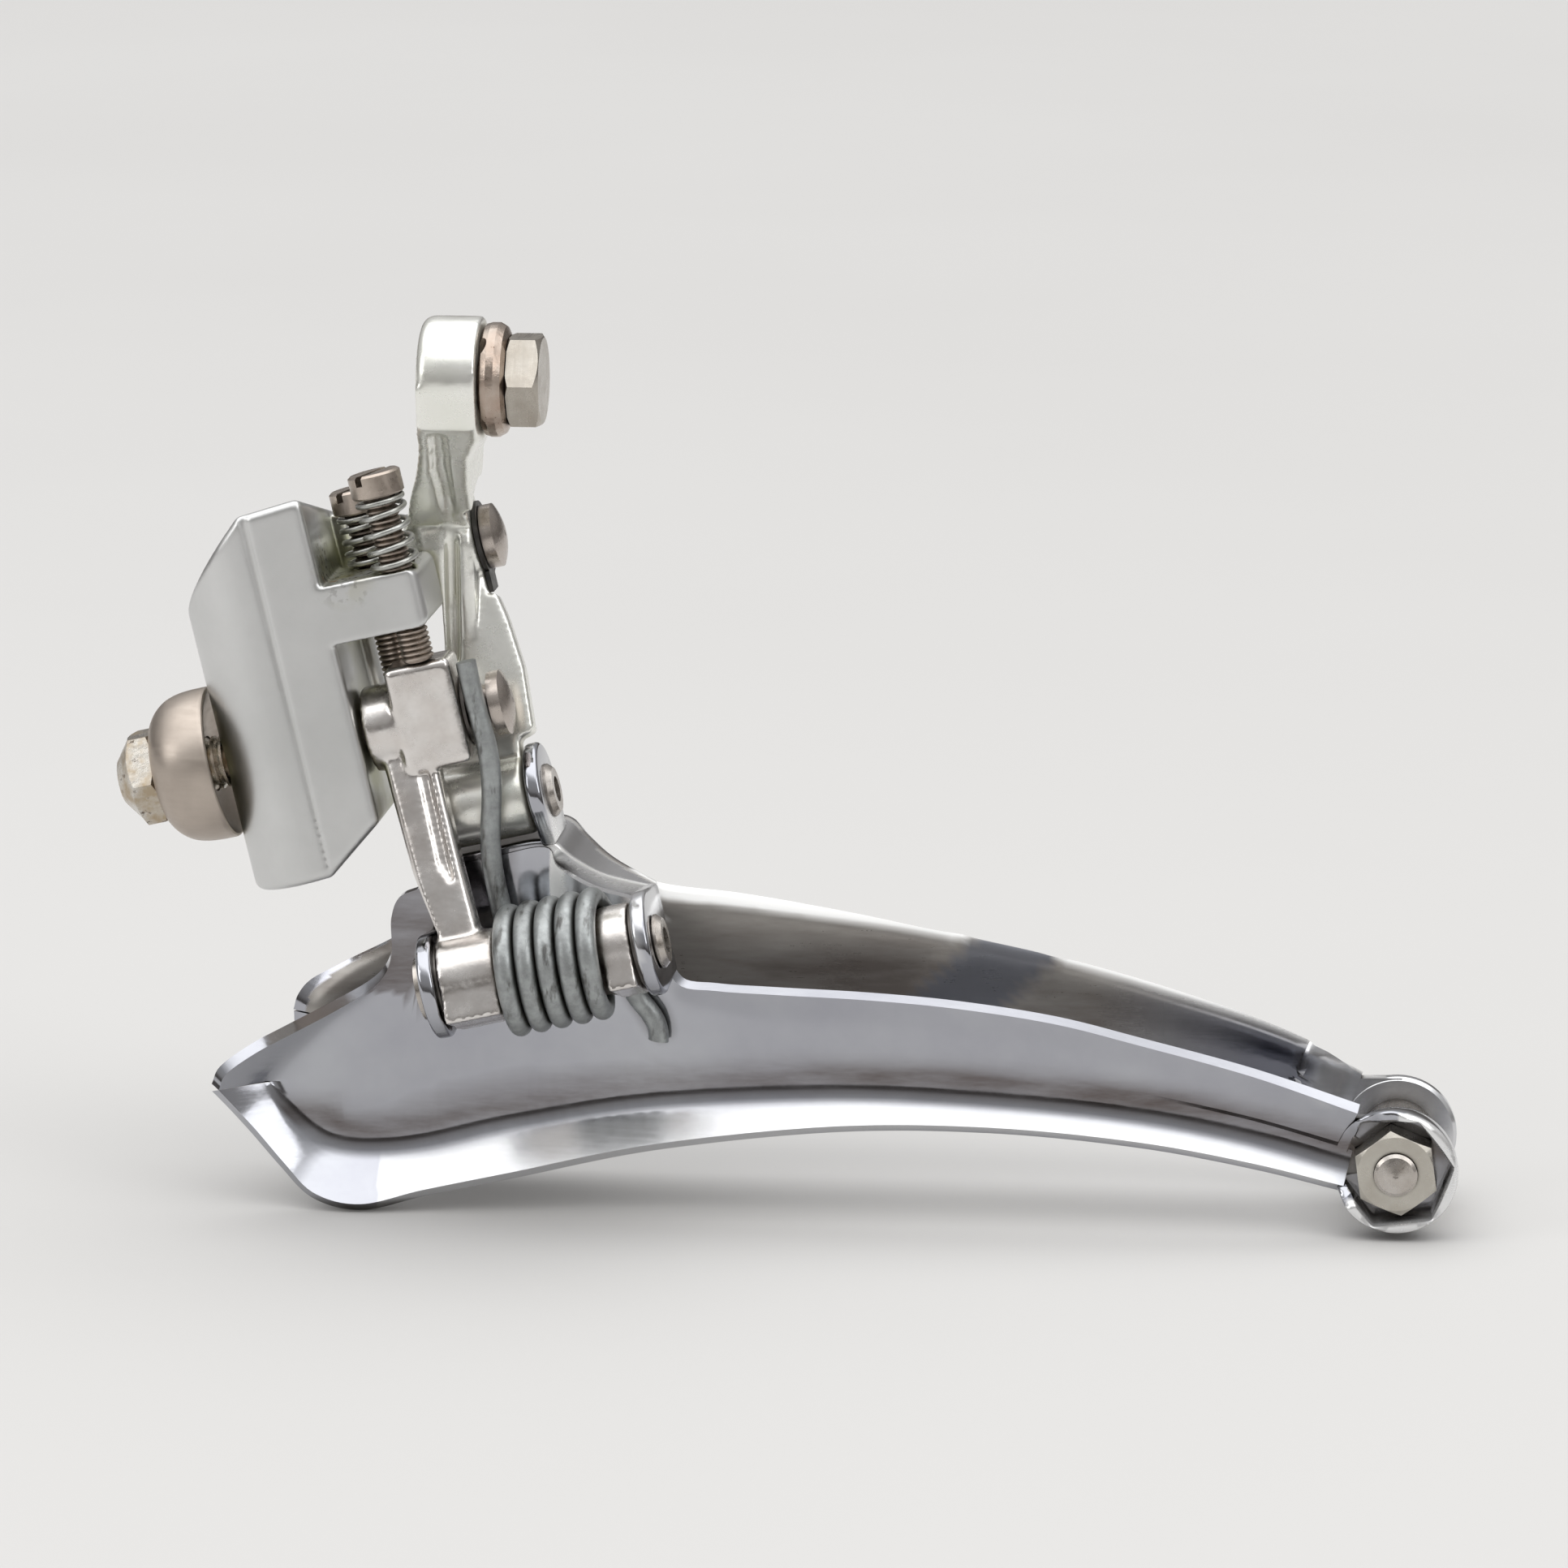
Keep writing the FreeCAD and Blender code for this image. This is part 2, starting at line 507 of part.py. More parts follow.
INNER_CROWN = [(13.0, -22.5), (14.0, -20.4), (15.5, -17.8), (15.0, -14.3), (15.7, -12.9), (18.0, -11.9),
               (18.9, -10.0), (30.0, -7.4), (30.8, -9.6), (34.0, -11.4), (39.2, -12.9), (42.4, -21.5)]
SWEEP_TOP = [(28.6, -7.8), (30.8, -8.9), (34.0, -11.2), (38.8, -14.0)]


def inner_plate():
    web = flat_plate([fold_line(INNER_BOTTOM), fold_line(INNER_TAIL_TOP), fold_line(INNER_NOSE_TOP)],
                     INNER_FACE, -1)
    rims = [rim_band(line, INNER_FACE, -1) for line in (INNER_BOTTOM, INNER_NOSE_TOP, INNER_TAIL_TOP)]
    crown = slab(INNER_CROWN, INNER_FACE, INNER_FACE + SHEET)
    return [web, crown] + rims


def outer_plate():
    web = flat_plate([fold_line(OUTER_BOTTOM), [V(16.6, 0, -18.0), V(17.6, 0, -11.2)],
                      [V(30.0, 0, -8.3), V(34.0, 0, -11.8)],
                      fold_line(OUTER_TOP)], OUTER_FACE, 1)
    rims = [rim_band(line, OUTER_FACE, 1) for line in (OUTER_BOTTOM, OUTER_TOP)]
    joggle = slab([(62.5, -25.5), (69.2, -18.6), (78.0, -20.5), (71.0, -27.5)], OUTER_FACE - SHEET - 0.35,
                  OUTER_FACE - SHEET + 0.2)
    return [web, joggle] + rims


def bridge():
    """Top of the cage between the plates, falling away to the rear."""
    top = tilted(box(15.4, 28.2, INNER_FACE, OUTER_FACE, BRIDGE_TOP - SHEET, BRIDGE_TOP))
    sweep = slab(SWEEP_TOP + [(x, z - SHEET) for x, z in reversed(SWEEP_TOP)], INNER_FACE, OUTER_FACE)
    plan = outline([V(27, INNER_FACE, -30), V(31.5, INNER_FACE, -30), V(38.9, 6.5, -30), V(38.9, FAR, -30),
                    V(27, FAR, -30)]).extrude(V(0, 0, 30))
    return [top, sweep.common(plan)]


def ear(x0, radius, pivot, root):
    """Rounded lug of the cage round a pin; root is the block that joins it to the plate."""
    body = pin(radius, x0, x0 + SHEET, pivot).fuse(box(x0, x0 + SHEET, root[0], root[1], root[2], root[3]))
    body = body.removeSplitter()
    return soften(body, 0.25, lambda edge: edge.Length > 4)


def ears():
    y, z = PIVOT_LOWER
    lower_root = (y, INNER_FACE + 0.8, z - 4.6, z + 3.9)
    y, z = PIVOT_UPPER
    shapes = [ear(x, 4.9, PIVOT_LOWER, lower_root) for x in LOWER_EARS]
    shapes += [ear(UPPER_EARS[0], 3.6, PIVOT_UPPER, (y - 2.9, y + 3.4, BRIDGE_TOP - SHEET, z)),
               ear(UPPER_EARS[1], 4.7, PIVOT_UPPER, (y - 2.9, y + 4.6, BRIDGE_TOP - SHEET, z))]
    return [tilted(shape) for shape in shapes]


def tail_cup():
    """Round end of the inner plate, turned up into a six-sided cup round the nut."""
    cup = bar(TAIL_R, INNER_FACE - 3.4, INNER_FACE + SHEET, TAIL)
    cup = soften(cup, 0.5, lambda edge: edge.CenterOfMass.y < INNER_FACE - 3.3 and edge.Length > 20)
    pocket = hexagon_plain(9.3, 6)
    pocket.rotate(ORIGIN, V(1, 0, 0), -90)
    pocket.rotate(ORIGIN, V(0, 1, 0), 12)
    pocket.translate(V(TAIL[0], INNER_FACE - 6, TAIL[1]))
    return cup.cut(pocket)


def cage():
    neck = slab([(100.6, -28.4), (104.6, -30.3), (109.0, -30.6), (108.0, -40.0), (101.5, -37.2)],
                OUTER_FACE - SHEET, OUTER_FACE)
    disc = bar(TAIL_DISC_R, OUTER_FACE - SHEET, OUTER_FACE, TAIL)
    inner_neck = slab([(101.5, -32.0), (107.0, -32.0), (107.0, -38.5), (101.5, -36.5)], INNER_FACE,
                      INNER_FACE + SHEET)
    body = joined(inner_plate() + outer_plate() + bridge() + ears() + [tail_cup(), inner_neck, neck, disc])
    body = body.cut(bar(TAIL_SCREW_R + RUNNING, -FAR, FAR, TAIL))
    for pivot in (PIVOT_UPPER, PIVOT_LOWER):
        body = body.cut(tilted(pin(CAGE_PIN_R, 0, FAR, pivot)))
    return body


def cage_pin(x0, x1, pivot):
    """Headed pin through two ears, its far end hollow and spread."""
    head = pin(CAGE_PIN_HEAD_R, x0 - 0.7, x0, pivot)
    lip = CAGE_PIN_R + 0.45
    profile = [(0, 0), (lip, 0), (lip, 0.25), (CAGE_PIN_R, CAGE_PIN_LIP), (0, CAGE_PIN_LIP)]
    spread = along_x(turned(profile), x1 - CAGE_PIN_LIP, pivot)
    body = joined([pin(CAGE_PIN_R, x0 - 0.5, x1, pivot), head, spread])
    return tilted(body.cut(pin(CAGE_PIN_HOLLOW_R, x1 - 1.6, x1 + 1, pivot)))


def cage_washers(spans, radius, pivot):
    rings = [ring(radius, CAGE_PIN_R + RUNNING, x0, x1, pivot) for x0, x1 in spans]
    return tilted(Part.makeCompound(rings))


# ---- tail ---------------------------------------------------------------------
def tail_screw():
    length = OUTER_FACE - INNER_FACE + NUT_HEIGHT + 0.9
    profile = [(0, 0)] + thread_profile(TAIL_SCREW_R, 0.3, 5.4, 0.7) + [(TAIL_SCREW_R, length), (3.4, length)]
    profile += [(3.6, length + 0.3), (3.4, length + 1.6), (2.6, length + 2.1), (0, length + 2.1)]
    screw = turned([(r - 0.3 if z == 0.3 else r, z) for r, z in profile])
    screw = screw.cut(box(-5, 5, -0.45, 0.45, length + 1.1, length + 5))
    screw.rotate(ORIGIN, V(1, 0, 0), -90)
    screw.translate(V(TAIL[0], OUTER_FACE - length + 0.02, TAIL[1]))
    return screw


def tail_nut():
    nut = hexagon(NUT_FLATS, NUT_HEIGHT, 0.35)
    nut.rotate(ORIGIN, V(0, 0, 1), 38)
    nut.rotate(ORIGIN, V(1, 0, 0), 90)
    nut.translate(V(TAIL[0], INNER_FACE - 0.02, TAIL[1]))
    return nut.cut(bar(TAIL_SCREW_R + THREAD_PLAY, -FAR, FAR, TAIL))


def tail_spacer():
    gap = 0.03
    start = INNER_FACE + SHEET + gap
    finish = OUTER_FACE - SHEET - gap
    return bar(3.4, start, finish, TAIL).cut(bar(TAIL_SCREW_R + RUNNING, -FAR, FAR, TAIL))


# ---- write the parts ----------------------------------------------------------
def parts():
    return {
        "mounting_block": mounting_block(),
        "fixing_bolt": fixing_bolt(),
        "fixing_washer": fixing_washer(),
        "cable_arm_pin": rivet_pin(PIVOT_ARM, 26.5, 3.0),
        "cable_arm_washer": cable_arm_washer(),
        "inner_link_pin": rivet_pin(PIVOT_LINK, 25.4, 3.05),
        "inner_link_washer": inner_link_washer(),
        "low_limit_screw": limit_screw(LOW_SCREW, LOW_TIP, LOW_HEAD),
        "high_limit_screw": limit_screw(HIGH_SCREW, HIGH_TIP, HIGH_HEAD),
        "low_limit_spring": limit_spring(LOW_SCREW, LOW_HEAD),
        "high_limit_spring": limit_spring(HIGH_SCREW, HIGH_HEAD),
        "cable_arm": cable_arm(),
        "anchor_bolt": anchor_bolt(),
        "anchor_washer": anchor_washer(),
        "inner_link": inner_link(),
        "return_spring": return_spring(),
        "cage": cage(),
        "upper_cage_pin": cage_pin(15.25, 28.95, PIVOT_UPPER),
        "lower_cage_pin": cage_pin(14.75, 37.4, PIVOT_LOWER),
        "upper_cage_washers": cage_washers([(16.74, 16.96), (26.54, 26.76)], 3.1, PIVOT_UPPER),
        "lower_cage_washers": cage_washers([(16.24, 16.46), (34.74, 35.06)], 3.9, PIVOT_LOWER),
        "tail_screw": tail_screw(),
        "tail_nut": tail_nut(),
        "tail_spacer": tail_spacer(),
    }


os.makedirs("parts", exist_ok=True)
for name, shape in parts().items():
    shape.translate(tilted(Part.Vertex(-SEAT[0], 0, -SEAT[1])).Point)
    shape.exportStep("parts/" + name + ".step")
    print(name, len(shape.Solids), shape.isValid(), round(shape.Volume, 1))
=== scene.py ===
import json
import math

import bmesh
import bpy
from mathutils import Matrix, Vector


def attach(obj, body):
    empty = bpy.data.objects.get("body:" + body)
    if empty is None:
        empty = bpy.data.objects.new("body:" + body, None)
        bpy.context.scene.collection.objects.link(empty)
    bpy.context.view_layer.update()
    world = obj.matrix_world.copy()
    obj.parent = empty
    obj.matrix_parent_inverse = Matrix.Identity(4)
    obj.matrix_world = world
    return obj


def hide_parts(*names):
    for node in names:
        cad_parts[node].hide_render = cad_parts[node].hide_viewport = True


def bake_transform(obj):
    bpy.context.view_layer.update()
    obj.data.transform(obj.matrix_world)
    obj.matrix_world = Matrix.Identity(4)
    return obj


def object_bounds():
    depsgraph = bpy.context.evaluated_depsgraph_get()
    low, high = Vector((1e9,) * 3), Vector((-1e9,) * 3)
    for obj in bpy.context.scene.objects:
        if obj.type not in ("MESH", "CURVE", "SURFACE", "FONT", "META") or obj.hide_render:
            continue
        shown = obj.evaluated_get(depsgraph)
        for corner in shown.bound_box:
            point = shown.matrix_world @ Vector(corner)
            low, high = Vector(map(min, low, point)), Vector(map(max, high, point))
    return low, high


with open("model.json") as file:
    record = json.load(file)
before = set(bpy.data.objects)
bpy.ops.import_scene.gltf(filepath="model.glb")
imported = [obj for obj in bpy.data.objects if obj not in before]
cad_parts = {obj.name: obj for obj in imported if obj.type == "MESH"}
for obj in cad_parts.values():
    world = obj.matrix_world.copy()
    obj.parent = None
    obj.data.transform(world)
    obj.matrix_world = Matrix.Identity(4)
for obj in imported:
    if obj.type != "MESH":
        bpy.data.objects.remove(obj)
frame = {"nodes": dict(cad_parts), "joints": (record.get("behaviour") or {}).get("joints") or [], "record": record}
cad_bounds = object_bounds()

# Looks for the front derailleur. Lengths are in metres in the frame of the packed
# model; outlines below are written in millimetres and scaled by MM.
MM = 0.001

# ---- the frame's own directions ----------------------------------------------
JOINTS = {joint["name"]: joint for joint in frame["joints"]}
AXIS = Vector(JOINTS["cable_arm_pivot"]["axis"]).normalized()
SIDE = Vector((0, 1, 0))
RISE = AXIS.cross(SIDE)
P_LOWER = Vector(JOINTS["cage_pivot"]["pos_m"])
P_UPPER = P_LOWER + SIDE * 10.0 * MM + RISE * 14.0 * MM
# how far P_LOWER is from the seat along AXIS; the ears' places are written from the seat
PINS_ALONG = 20.0

# The cage outlines are drawn about this point, in the frame.
DRAWN_FROM = Vector((0.6707, 0, 0.8733)) * MM

# the cage's sheet, its two faces in Y, how far a lip leans out for its length, and the narrowest lip
SHEET = 1.4
INNER_FACE = -3.0
OUTER_FACE = 9.4
FLARE = 0.8
LEAST_RIM = 0.15
# the tail eye (x, z), the radius of its round ends, and how far the cup's facets are turned about it
TAIL = (108.6, -36.0)
TAIL_RADIUS = 5.5
CUP_TURN = math.radians(8)
# the tail's disc stands this far proud of the plate it joins, and the necks this far inside it
SEAM = 0.04
# the bridge starts to cross from the inner plate at the first x and meets the outer one at the second
BRIDGE_CROSS = (31.2, 38.6)
BRIDGE_INSET = 0.25
BRIDGE_SHIFT = 9.6
# the outer plate's slanting step: (x, z) of a point, and how far ahead of it the middle line runs
STEP_FROM = (67.5, -21.5)
STEP_AHEAD = 2.5
# the outer plate's last fold, ahead of the tail: (x, z) of a point of it, and how far x leans for each z
LAST_FOLD = (100.9, -26.7)
LAST_FOLD_LEAN = 0.34


def placed(name, data):
    """A new object in the scene."""
    made = bpy.data.objects.new(name, data)
    bpy.context.scene.collection.objects.link(made)
    return made


def mesh_object(name, vertices, faces):
    mesh = bpy.data.meshes.new(name)
    mesh.from_pydata(vertices, [], faces)
    mesh.validate()
    mesh.update()
    return placed(name, mesh)


def drawn(points):
    """Points of the cage's outlines, in millimetres, as places in the frame."""
    return [point * MM + DRAWN_FROM for point in points]


def apply_modifiers(obj):
    """Keep the evaluated mesh and drop the modifiers."""
    graph = bpy.context.evaluated_depsgraph_get()
    mesh = bpy.data.meshes.new_from_object(obj.evaluated_get(graph))
    obj.modifiers.clear()
    obj.data = mesh


def bevelled(obj, width, segments, degrees):
    """Round over the edges sharper than the angle, once the modifiers before this one are done."""
    edge = obj.modifiers.new("edge", "BEVEL")
    edge.width = width * MM
    edge.segments = segments
    edge.limit_method = "ANGLE"
    edge.angle_limit = math.radians(degrees)
    apply_modifiers(obj)
    return obj


def thickened(obj, edge_width, towards):
    """Turn an open sheet's faces towards a direction, give it SHEET behind them and round its edges."""
    work = bmesh.new()
    work.from_mesh(obj.data)
    bmesh.ops.remove_doubles(work, verts=work.verts, dist=0.02 * MM)
    bmesh.ops.recalc_face_normals(work, faces=work.faces)
    if sum(face.normal.dot(towards) * face.calc_area() for face in work.faces) < 0:
        bmesh.ops.reverse_faces(work, faces=work.faces)
    work.to_mesh(obj.data)
    work.free()
    thick = obj.modifiers.new("thick", "SOLIDIFY")
    thick.thickness = SHEET * MM
    thick.offset = -1
    return bevelled(obj, width=edge_width, segments=3, degrees=60)


def grid_faces(columns, rows):
    """Faces of an open grid whose points run down one column after another."""
    faces = []
    for column in range(columns - 1):
        for row in range(rows - 1):
            a = column * rows + row
            faces.append((a, a + 1, a + rows + 1, a + rows))
    return faces


def ring_faces(rings, segments):
    """Faces between closed rings of points."""
    faces = []
    for ring in range(rings - 1):
        for k in range(segments):
            a = ring * segments + k
            b = ring * segments + (k + 1) % segments
            faces.append((a, b, b + segments, a + segments))
    return faces


def shade_smooth(obj):
    for polygon in obj.data.polygons:
        polygon.use_smooth = True


def smooth(obj, degrees):
    """Smooth shading, with edges sharper than the angle kept sharp."""
    limit = math.radians(degrees)
    shade_smooth(obj)
    work = bmesh.new()
    work.from_mesh(obj.data)
    for edge in work.edges:
        edge.smooth = len(edge.link_faces) != 2 or edge.calc_face_angle(0) < limit
    work.to_mesh(obj.data)
    work.free()


# ---- materials ------------------------------------------------------------------
class Graph:
    """Shorthand for building a material's nodes."""

    def __init__(self, name):
        self.material = bpy.data.materials.new(name)
        self.material.use_nodes = True
        self.nodes = self.material.node_tree.nodes
        self.links = self.material.node_tree.links
        self.shader = self.nodes["Principled BSDF"]
        self.coords = self.add("ShaderNodeTexCoord").outputs["Object"]

    def add(self, kind, **settings):
        node = self.nodes.new(kind)
        for key, value in settings.items():
            setattr(node, key, value)
        return node

    def link(self, source, target):
        self.links.new(source, target)

    def stretched(self, scale):
        """Object coordinates scaled differently along the axes."""
        mapping = self.add("ShaderNodeMapping")
        mapping.inputs["Scale"].default_value = scale
        self.link(self.coords, mapping.inputs["Vector"])
        return mapping.outputs["Vector"]

    def noise(self, scale, detail=4.0, rough=0.55, vector=None):
        node = self.add("ShaderNodeTexNoise")
        node.inputs["Scale"].default_value = scale
        node.inputs["Detail"].default_value = detail
        node.inputs["Roughness"].default_value = rough
        self.link(vector or self.coords, node.inputs["Vector"])
        return node.outputs["Fac"]

    def spread(self, value, low, high, out_low, out_high):
        """The value carried from one range to another, and held inside it."""
        node = self.add("ShaderNodeMapRange")
        for key, number in (("From Min", low), ("From Max", high), ("To Min", out_low), ("To Max", out_high)):
            node.inputs[key].default_value = number
        self.link(value, node.inputs["Value"])
        return node.outputs["Result"]

    def maths(self, kind, first, second):
        node = self.add("ShaderNodeMath", operation=kind)
        for socket, value in zip(node.inputs, (first, second)):
            if isinstance(value, (int, float)):
                socket.default_value = value
            else:
                self.link(value, socket)
        return node.outputs["Value"]

    def mix(self, amount, first, second):
        """Colour mix; each colour is a triple or a socket. The node's sockets share their names, so the
        colour ones are found by number."""
        node = self.add("ShaderNodeMix", data_type="RGBA")
        self.link(amount, node.inputs["Factor"])
        for socket, value in zip((node.inputs[6], node.inputs[7]), (first, second)):
            if isinstance(value, tuple):
                socket.default_value = (*value, 1)
            else:
                self.link(value, socket)
        return node.outputs[2]

    def specks(self, scale, size):
        """1 inside scattered small spots."""
        node = self.add("ShaderNodeTexVoronoi")
        node.inputs["Scale"].default_value = scale
        self.link(self.coords, node.inputs["Vector"])
        near = self.spread(node.outputs["Distance"], size * 0.5, size, 1, 0)
        some = self.spread(self.noise(scale * 0.21, 2), 0.6, 0.66, 0, 1)
        return self.maths("MULTIPLY", near, some)

    def crevice(self, reach):
        """1 deep in corners and gaps, 0 on open faces."""
        # ambient occlusion: the mask for painted shade in corners and gaps
        node = self.add("ShaderNodeAmbientOcclusion", samples=8)
        node.inputs["Distance"].default_value = reach
        return self.spread(node.outputs["AO"], 0.35, 0.85, 1, 0)

    def mark(self, attribute):
        """One of the values that mark_tarnish_and_painted_light leaves on the mesh."""
        return self.add("ShaderNodeAttribute", attribute_name=attribute).outputs["Fac"]

    def bump(self, height, strength, distance):
        node = self.add("ShaderNodeBump")
        node.inputs["Strength"].default_value = strength
        node.inputs["Distance"].default_value = distance
        self.link(height, node.inputs["Height"])
        self.link(node.outputs["Normal"], self.shader.inputs["Normal"])


def metal(name, light, dark, rough, patch=160, grain=2600, grain_depth=0.012, brushed=None,
          corner_grime_and_shade=None, corner_grime_and_shade_reach=0.0, spot=None, spot_size=0.12, metallic=1.0):
    """A metal with mottled tone, uneven gloss, fine grain, brush lines, specks, and grime-tinted painted shade in
    its corners.
    """
    g = Graph(name)
    tone = g.noise(patch, 6, 0.6)
    colour = g.mix(g.spread(tone, 0.32, 0.68, 0, 1), light, dark)
    gloss = g.spread(g.noise(patch * 2.3, 8, 0.7), 0.3, 0.7, rough[0], rough[1])
    if corner_grime_and_shade:
        # painted shade in corners and gaps, from occlusion, in a grime-tinted colour
        overlay_share = g.maths("MULTIPLY", g.crevice(corner_grime_and_shade_reach), g.spread(g.noise(patch * 3, 5), 0.3, 0.6, 0.45, 1))
        colour = g.mix(overlay_share, colour, corner_grime_and_shade)
        gloss = g.maths("ADD", gloss, g.maths("MULTIPLY", overlay_share, 0.25))
    if spot:
        marks = g.specks(patch * 5, spot_size)
        colour = g.mix(marks, colour, spot)
        gloss = g.maths("ADD", gloss, g.maths("MULTIPLY", marks, 0.3))
    height = g.noise(grain, 3, 0.6)
    if brushed:
        lines = g.noise(1.0, 3, 0.5, g.stretched(brushed))
        height = g.maths("ADD", g.maths("MULTIPLY", lines, 0.8), g.maths("MULTIPLY", height, 0.5))
        gloss = g.maths("ADD", gloss, g.spread(lines, 0.3, 0.7, -0.04, 0.06))
    g.link(colour, g.shader.inputs["Base Color"])
    g.link(gloss, g.shader.inputs["Roughness"])
    g.shader.inputs["Metallic"].default_value = metallic
    g.bump(height, 1.0, grain_depth * MM)
    return g.material


def rusted_nickel():
    """Old nickel with yellowed patches and dark rust pits."""
    g = Graph("worn_nickel_rust")
    patch = g.spread(g.noise(420, 6, 0.65), 0.42, 0.62, 0, 1)
    colour = g.mix(patch, (0.58, 0.55, 0.50), (0.44, 0.36, 0.26))
    rust = g.spread(g.noise(760, 7, 0.7), 0.6, 0.67, 0, 1)
    colour = g.mix(rust, colour, (0.10, 0.055, 0.03))
    gloss = g.maths("ADD", g.spread(patch, 0, 1, 0.24, 0.42), g.maths("MULTIPLY", rust, 0.45))
    g.link(colour, g.shader.inputs["Base Color"])
    g.link(gloss, g.shader.inputs["Roughness"])
    g.link(g.spread(rust, 0, 1, 1, 0.25), g.shader.inputs["Metallic"])
    g.bump(g.maths("ADD", g.noise(1800, 5), g.maths("MULTIPLY", rust, -0.8)), 1.0, 0.035 * MM)
    return g.material


# the corner where the screw shelf meets the block
SHELF_ROOT = (0.0125, -0.003, 0.0188)


def anodised():
    """Satin silver anodising, with olive grime and painted shade in its hollows, and olive grime and a rust bloom
    in the root of the shelf.
    """
    g = Graph("anodised_satin")
    tone = g.noise(60, 6, 0.6)
    colour = g.mix(g.spread(tone, 0.32, 0.68, 0, 1), (0.67, 0.672, 0.668), (0.58, 0.585, 0.578))
    gloss = g.spread(g.noise(150, 8, 0.7), 0.3, 0.7, 0.30, 0.42)
    # olive grime and painted shade in the hollows, from occlusion
    hollow = g.maths("MULTIPLY", g.crevice(0.0035), g.spread(g.noise(190, 5), 0.3, 0.6, 0.4, 1))
    colour = g.mix(hollow, colour, (0.33, 0.33, 0.20))
    root = g.add("ShaderNodeVectorMath", operation="DISTANCE")
    root.inputs[1].default_value = SHELF_ROOT
    g.link(g.coords, root.inputs[0])
    near = g.spread(root.outputs["Value"], 0.0015, 0.0052, 1, 0)
    crumbs = g.maths("MULTIPLY", near, g.spread(g.noise(1500, 3), 0.56, 0.62, 0, 1))
    olive = g.maths("MULTIPLY", near, g.spread(g.noise(420, 4), 0.46, 0.6, 0, 0.7))
    colour = g.mix(olive, colour, (0.36, 0.33, 0.12))
    colour = g.mix(crumbs, colour, (0.05, 0.035, 0.02))
    rust = g.maths("MULTIPLY", near, g.spread(g.noise(640, 2), 0.62, 0.68, 0, 1))
    colour = g.mix(rust, colour, (0.55, 0.22, 0.04))
    marks = g.specks(300, 0.06)
    colour = g.mix(marks, colour, (0.26, 0.25, 0.23))
    gloss = g.maths("ADD", gloss, g.maths("MULTIPLY", g.maths("MAXIMUM", marks, crumbs), 0.3))
    g.link(colour, g.shader.inputs["Base Color"])
    g.link(gloss, g.shader.inputs["Roughness"])
    g.shader.inputs["Metallic"].default_value = 1.0
    g.bump(g.noise(5200, 3, 0.6), 1.0, 0.006 * MM)
    return g.material


def chrome():
    """Chrome plate: faint hair lines in its gloss, a brown bloom along the lower fold and the crown, a
    dull inside on the far plate in painted reflection and shade, with painted shade on its step, painted
    highlights on its bright edges, and painted shade in its corners."""
    g = Graph("chrome_plate")
    tone = g.noise(70, 6, 0.6)
    colour = g.mix(g.spread(tone, 0.32, 0.68, 0, 1), (0.46, 0.47, 0.50), (0.385, 0.39, 0.43))
    gloss = g.spread(g.noise(160, 8, 0.7), 0.3, 0.7, 0.06, 0.15)
    cloud = g.spread(g.noise(1.0, 6, 0.65, g.stretched((60, 200, 330))), 0.3, 0.7, 0.35, 1)
    bloom = g.maths("MULTIPLY", g.mark("bloom"), cloud)
    colour = g.mix(g.maths("MULTIPLY", bloom, 0.97), colour, (0.10, 0.078, 0.07))
    inside = g.mark("inside")
    # painted reflection and shade on the far plate's inner face: dark brown with lighter streaks
    streak = g.spread(g.noise(1.0, 7, 0.6, g.stretched((38, 200, 210))), 0.34, 0.66, 0, 1)
    dull = g.mix(streak, (0.42, 0.40, 0.37), (0.17, 0.145, 0.125))
    # painted shade along the slanting step
    step = g.mark("step")
    dull = g.mix(g.maths("MULTIPLY", step, 0.85), dull, (0.15, 0.16, 0.19))
    colour = g.mix(g.maths("MULTIPLY", inside, 0.92), colour, dull)
    gloss = g.maths("ADD", gloss, g.maths("MULTIPLY", inside, 0.2))
    # painted highlight: near white along the marked edges
    edge = g.mark("edge")
    colour = g.mix(edge, colour, (0.95, 0.95, 0.94))
    gloss = g.maths("ADD", gloss, g.maths("MULTIPLY", edge, 0.2))
    # painted shade in corners and gaps, from occlusion
    overlay_share = g.maths("MULTIPLY", g.crevice(0.0016), g.spread(g.noise(210, 5), 0.3, 0.6, 0.45, 1))
    colour = g.mix(overlay_share, colour, (0.08, 0.07, 0.06))
    hair = g.noise(1.0, 3, 0.5, g.stretched((160, 900, 5200)))
    gloss = g.maths("ADD", gloss, g.spread(hair, 0.35, 0.65, -0.015, 0.025))
    # less metallic on the far plate's inside and under the painted highlights
    metallic_share = g.maths("SUBTRACT", g.spread(inside, 0, 1, 1, 0.55), g.maths("MULTIPLY", edge, 0.45))
    g.link(colour, g.shader.inputs["Base Color"])
    g.link(gloss, g.shader.inputs["Roughness"])
    g.link(metallic_share, g.shader.inputs["Metallic"])
    g.bump(g.noise(260, 3, 0.6), 1.0, 0.012 * MM)
    return g.material


def streaked_zinc():
    """Dull plated spring wire with dark streaks, and painted shade where the turns meet."""
    g = Graph("dull_spring_zinc")
    tone = g.noise(620, 7, 0.7)
    colour = g.mix(g.spread(tone, 0.35, 0.65, 0, 1), (0.40, 0.42, 0.42), (0.27, 0.28, 0.28))
    streak = g.spread(g.noise(1.0, 4, 0.6, g.stretched((900, 260, 260))), 0.56, 0.66, 0, 1)
    colour = g.mix(g.maths("MULTIPLY", streak, 0.7), colour, (0.07, 0.065, 0.06))
    # painted shade between the turns, from occlusion
    colour = g.mix(g.maths("MULTIPLY", g.crevice(0.0012), 0.8), colour, (0.05, 0.05, 0.04))
    g.link(colour, g.shader.inputs["Base Color"])
    g.link(g.spread(tone, 0.3, 0.7, 0.34, 0.5), g.shader.inputs["Roughness"])
    g.shader.inputs["Metallic"].default_value = 0.85
    g.bump(g.noise(1900, 5, 0.65), 1.0, 0.04 * MM)
    return g.material
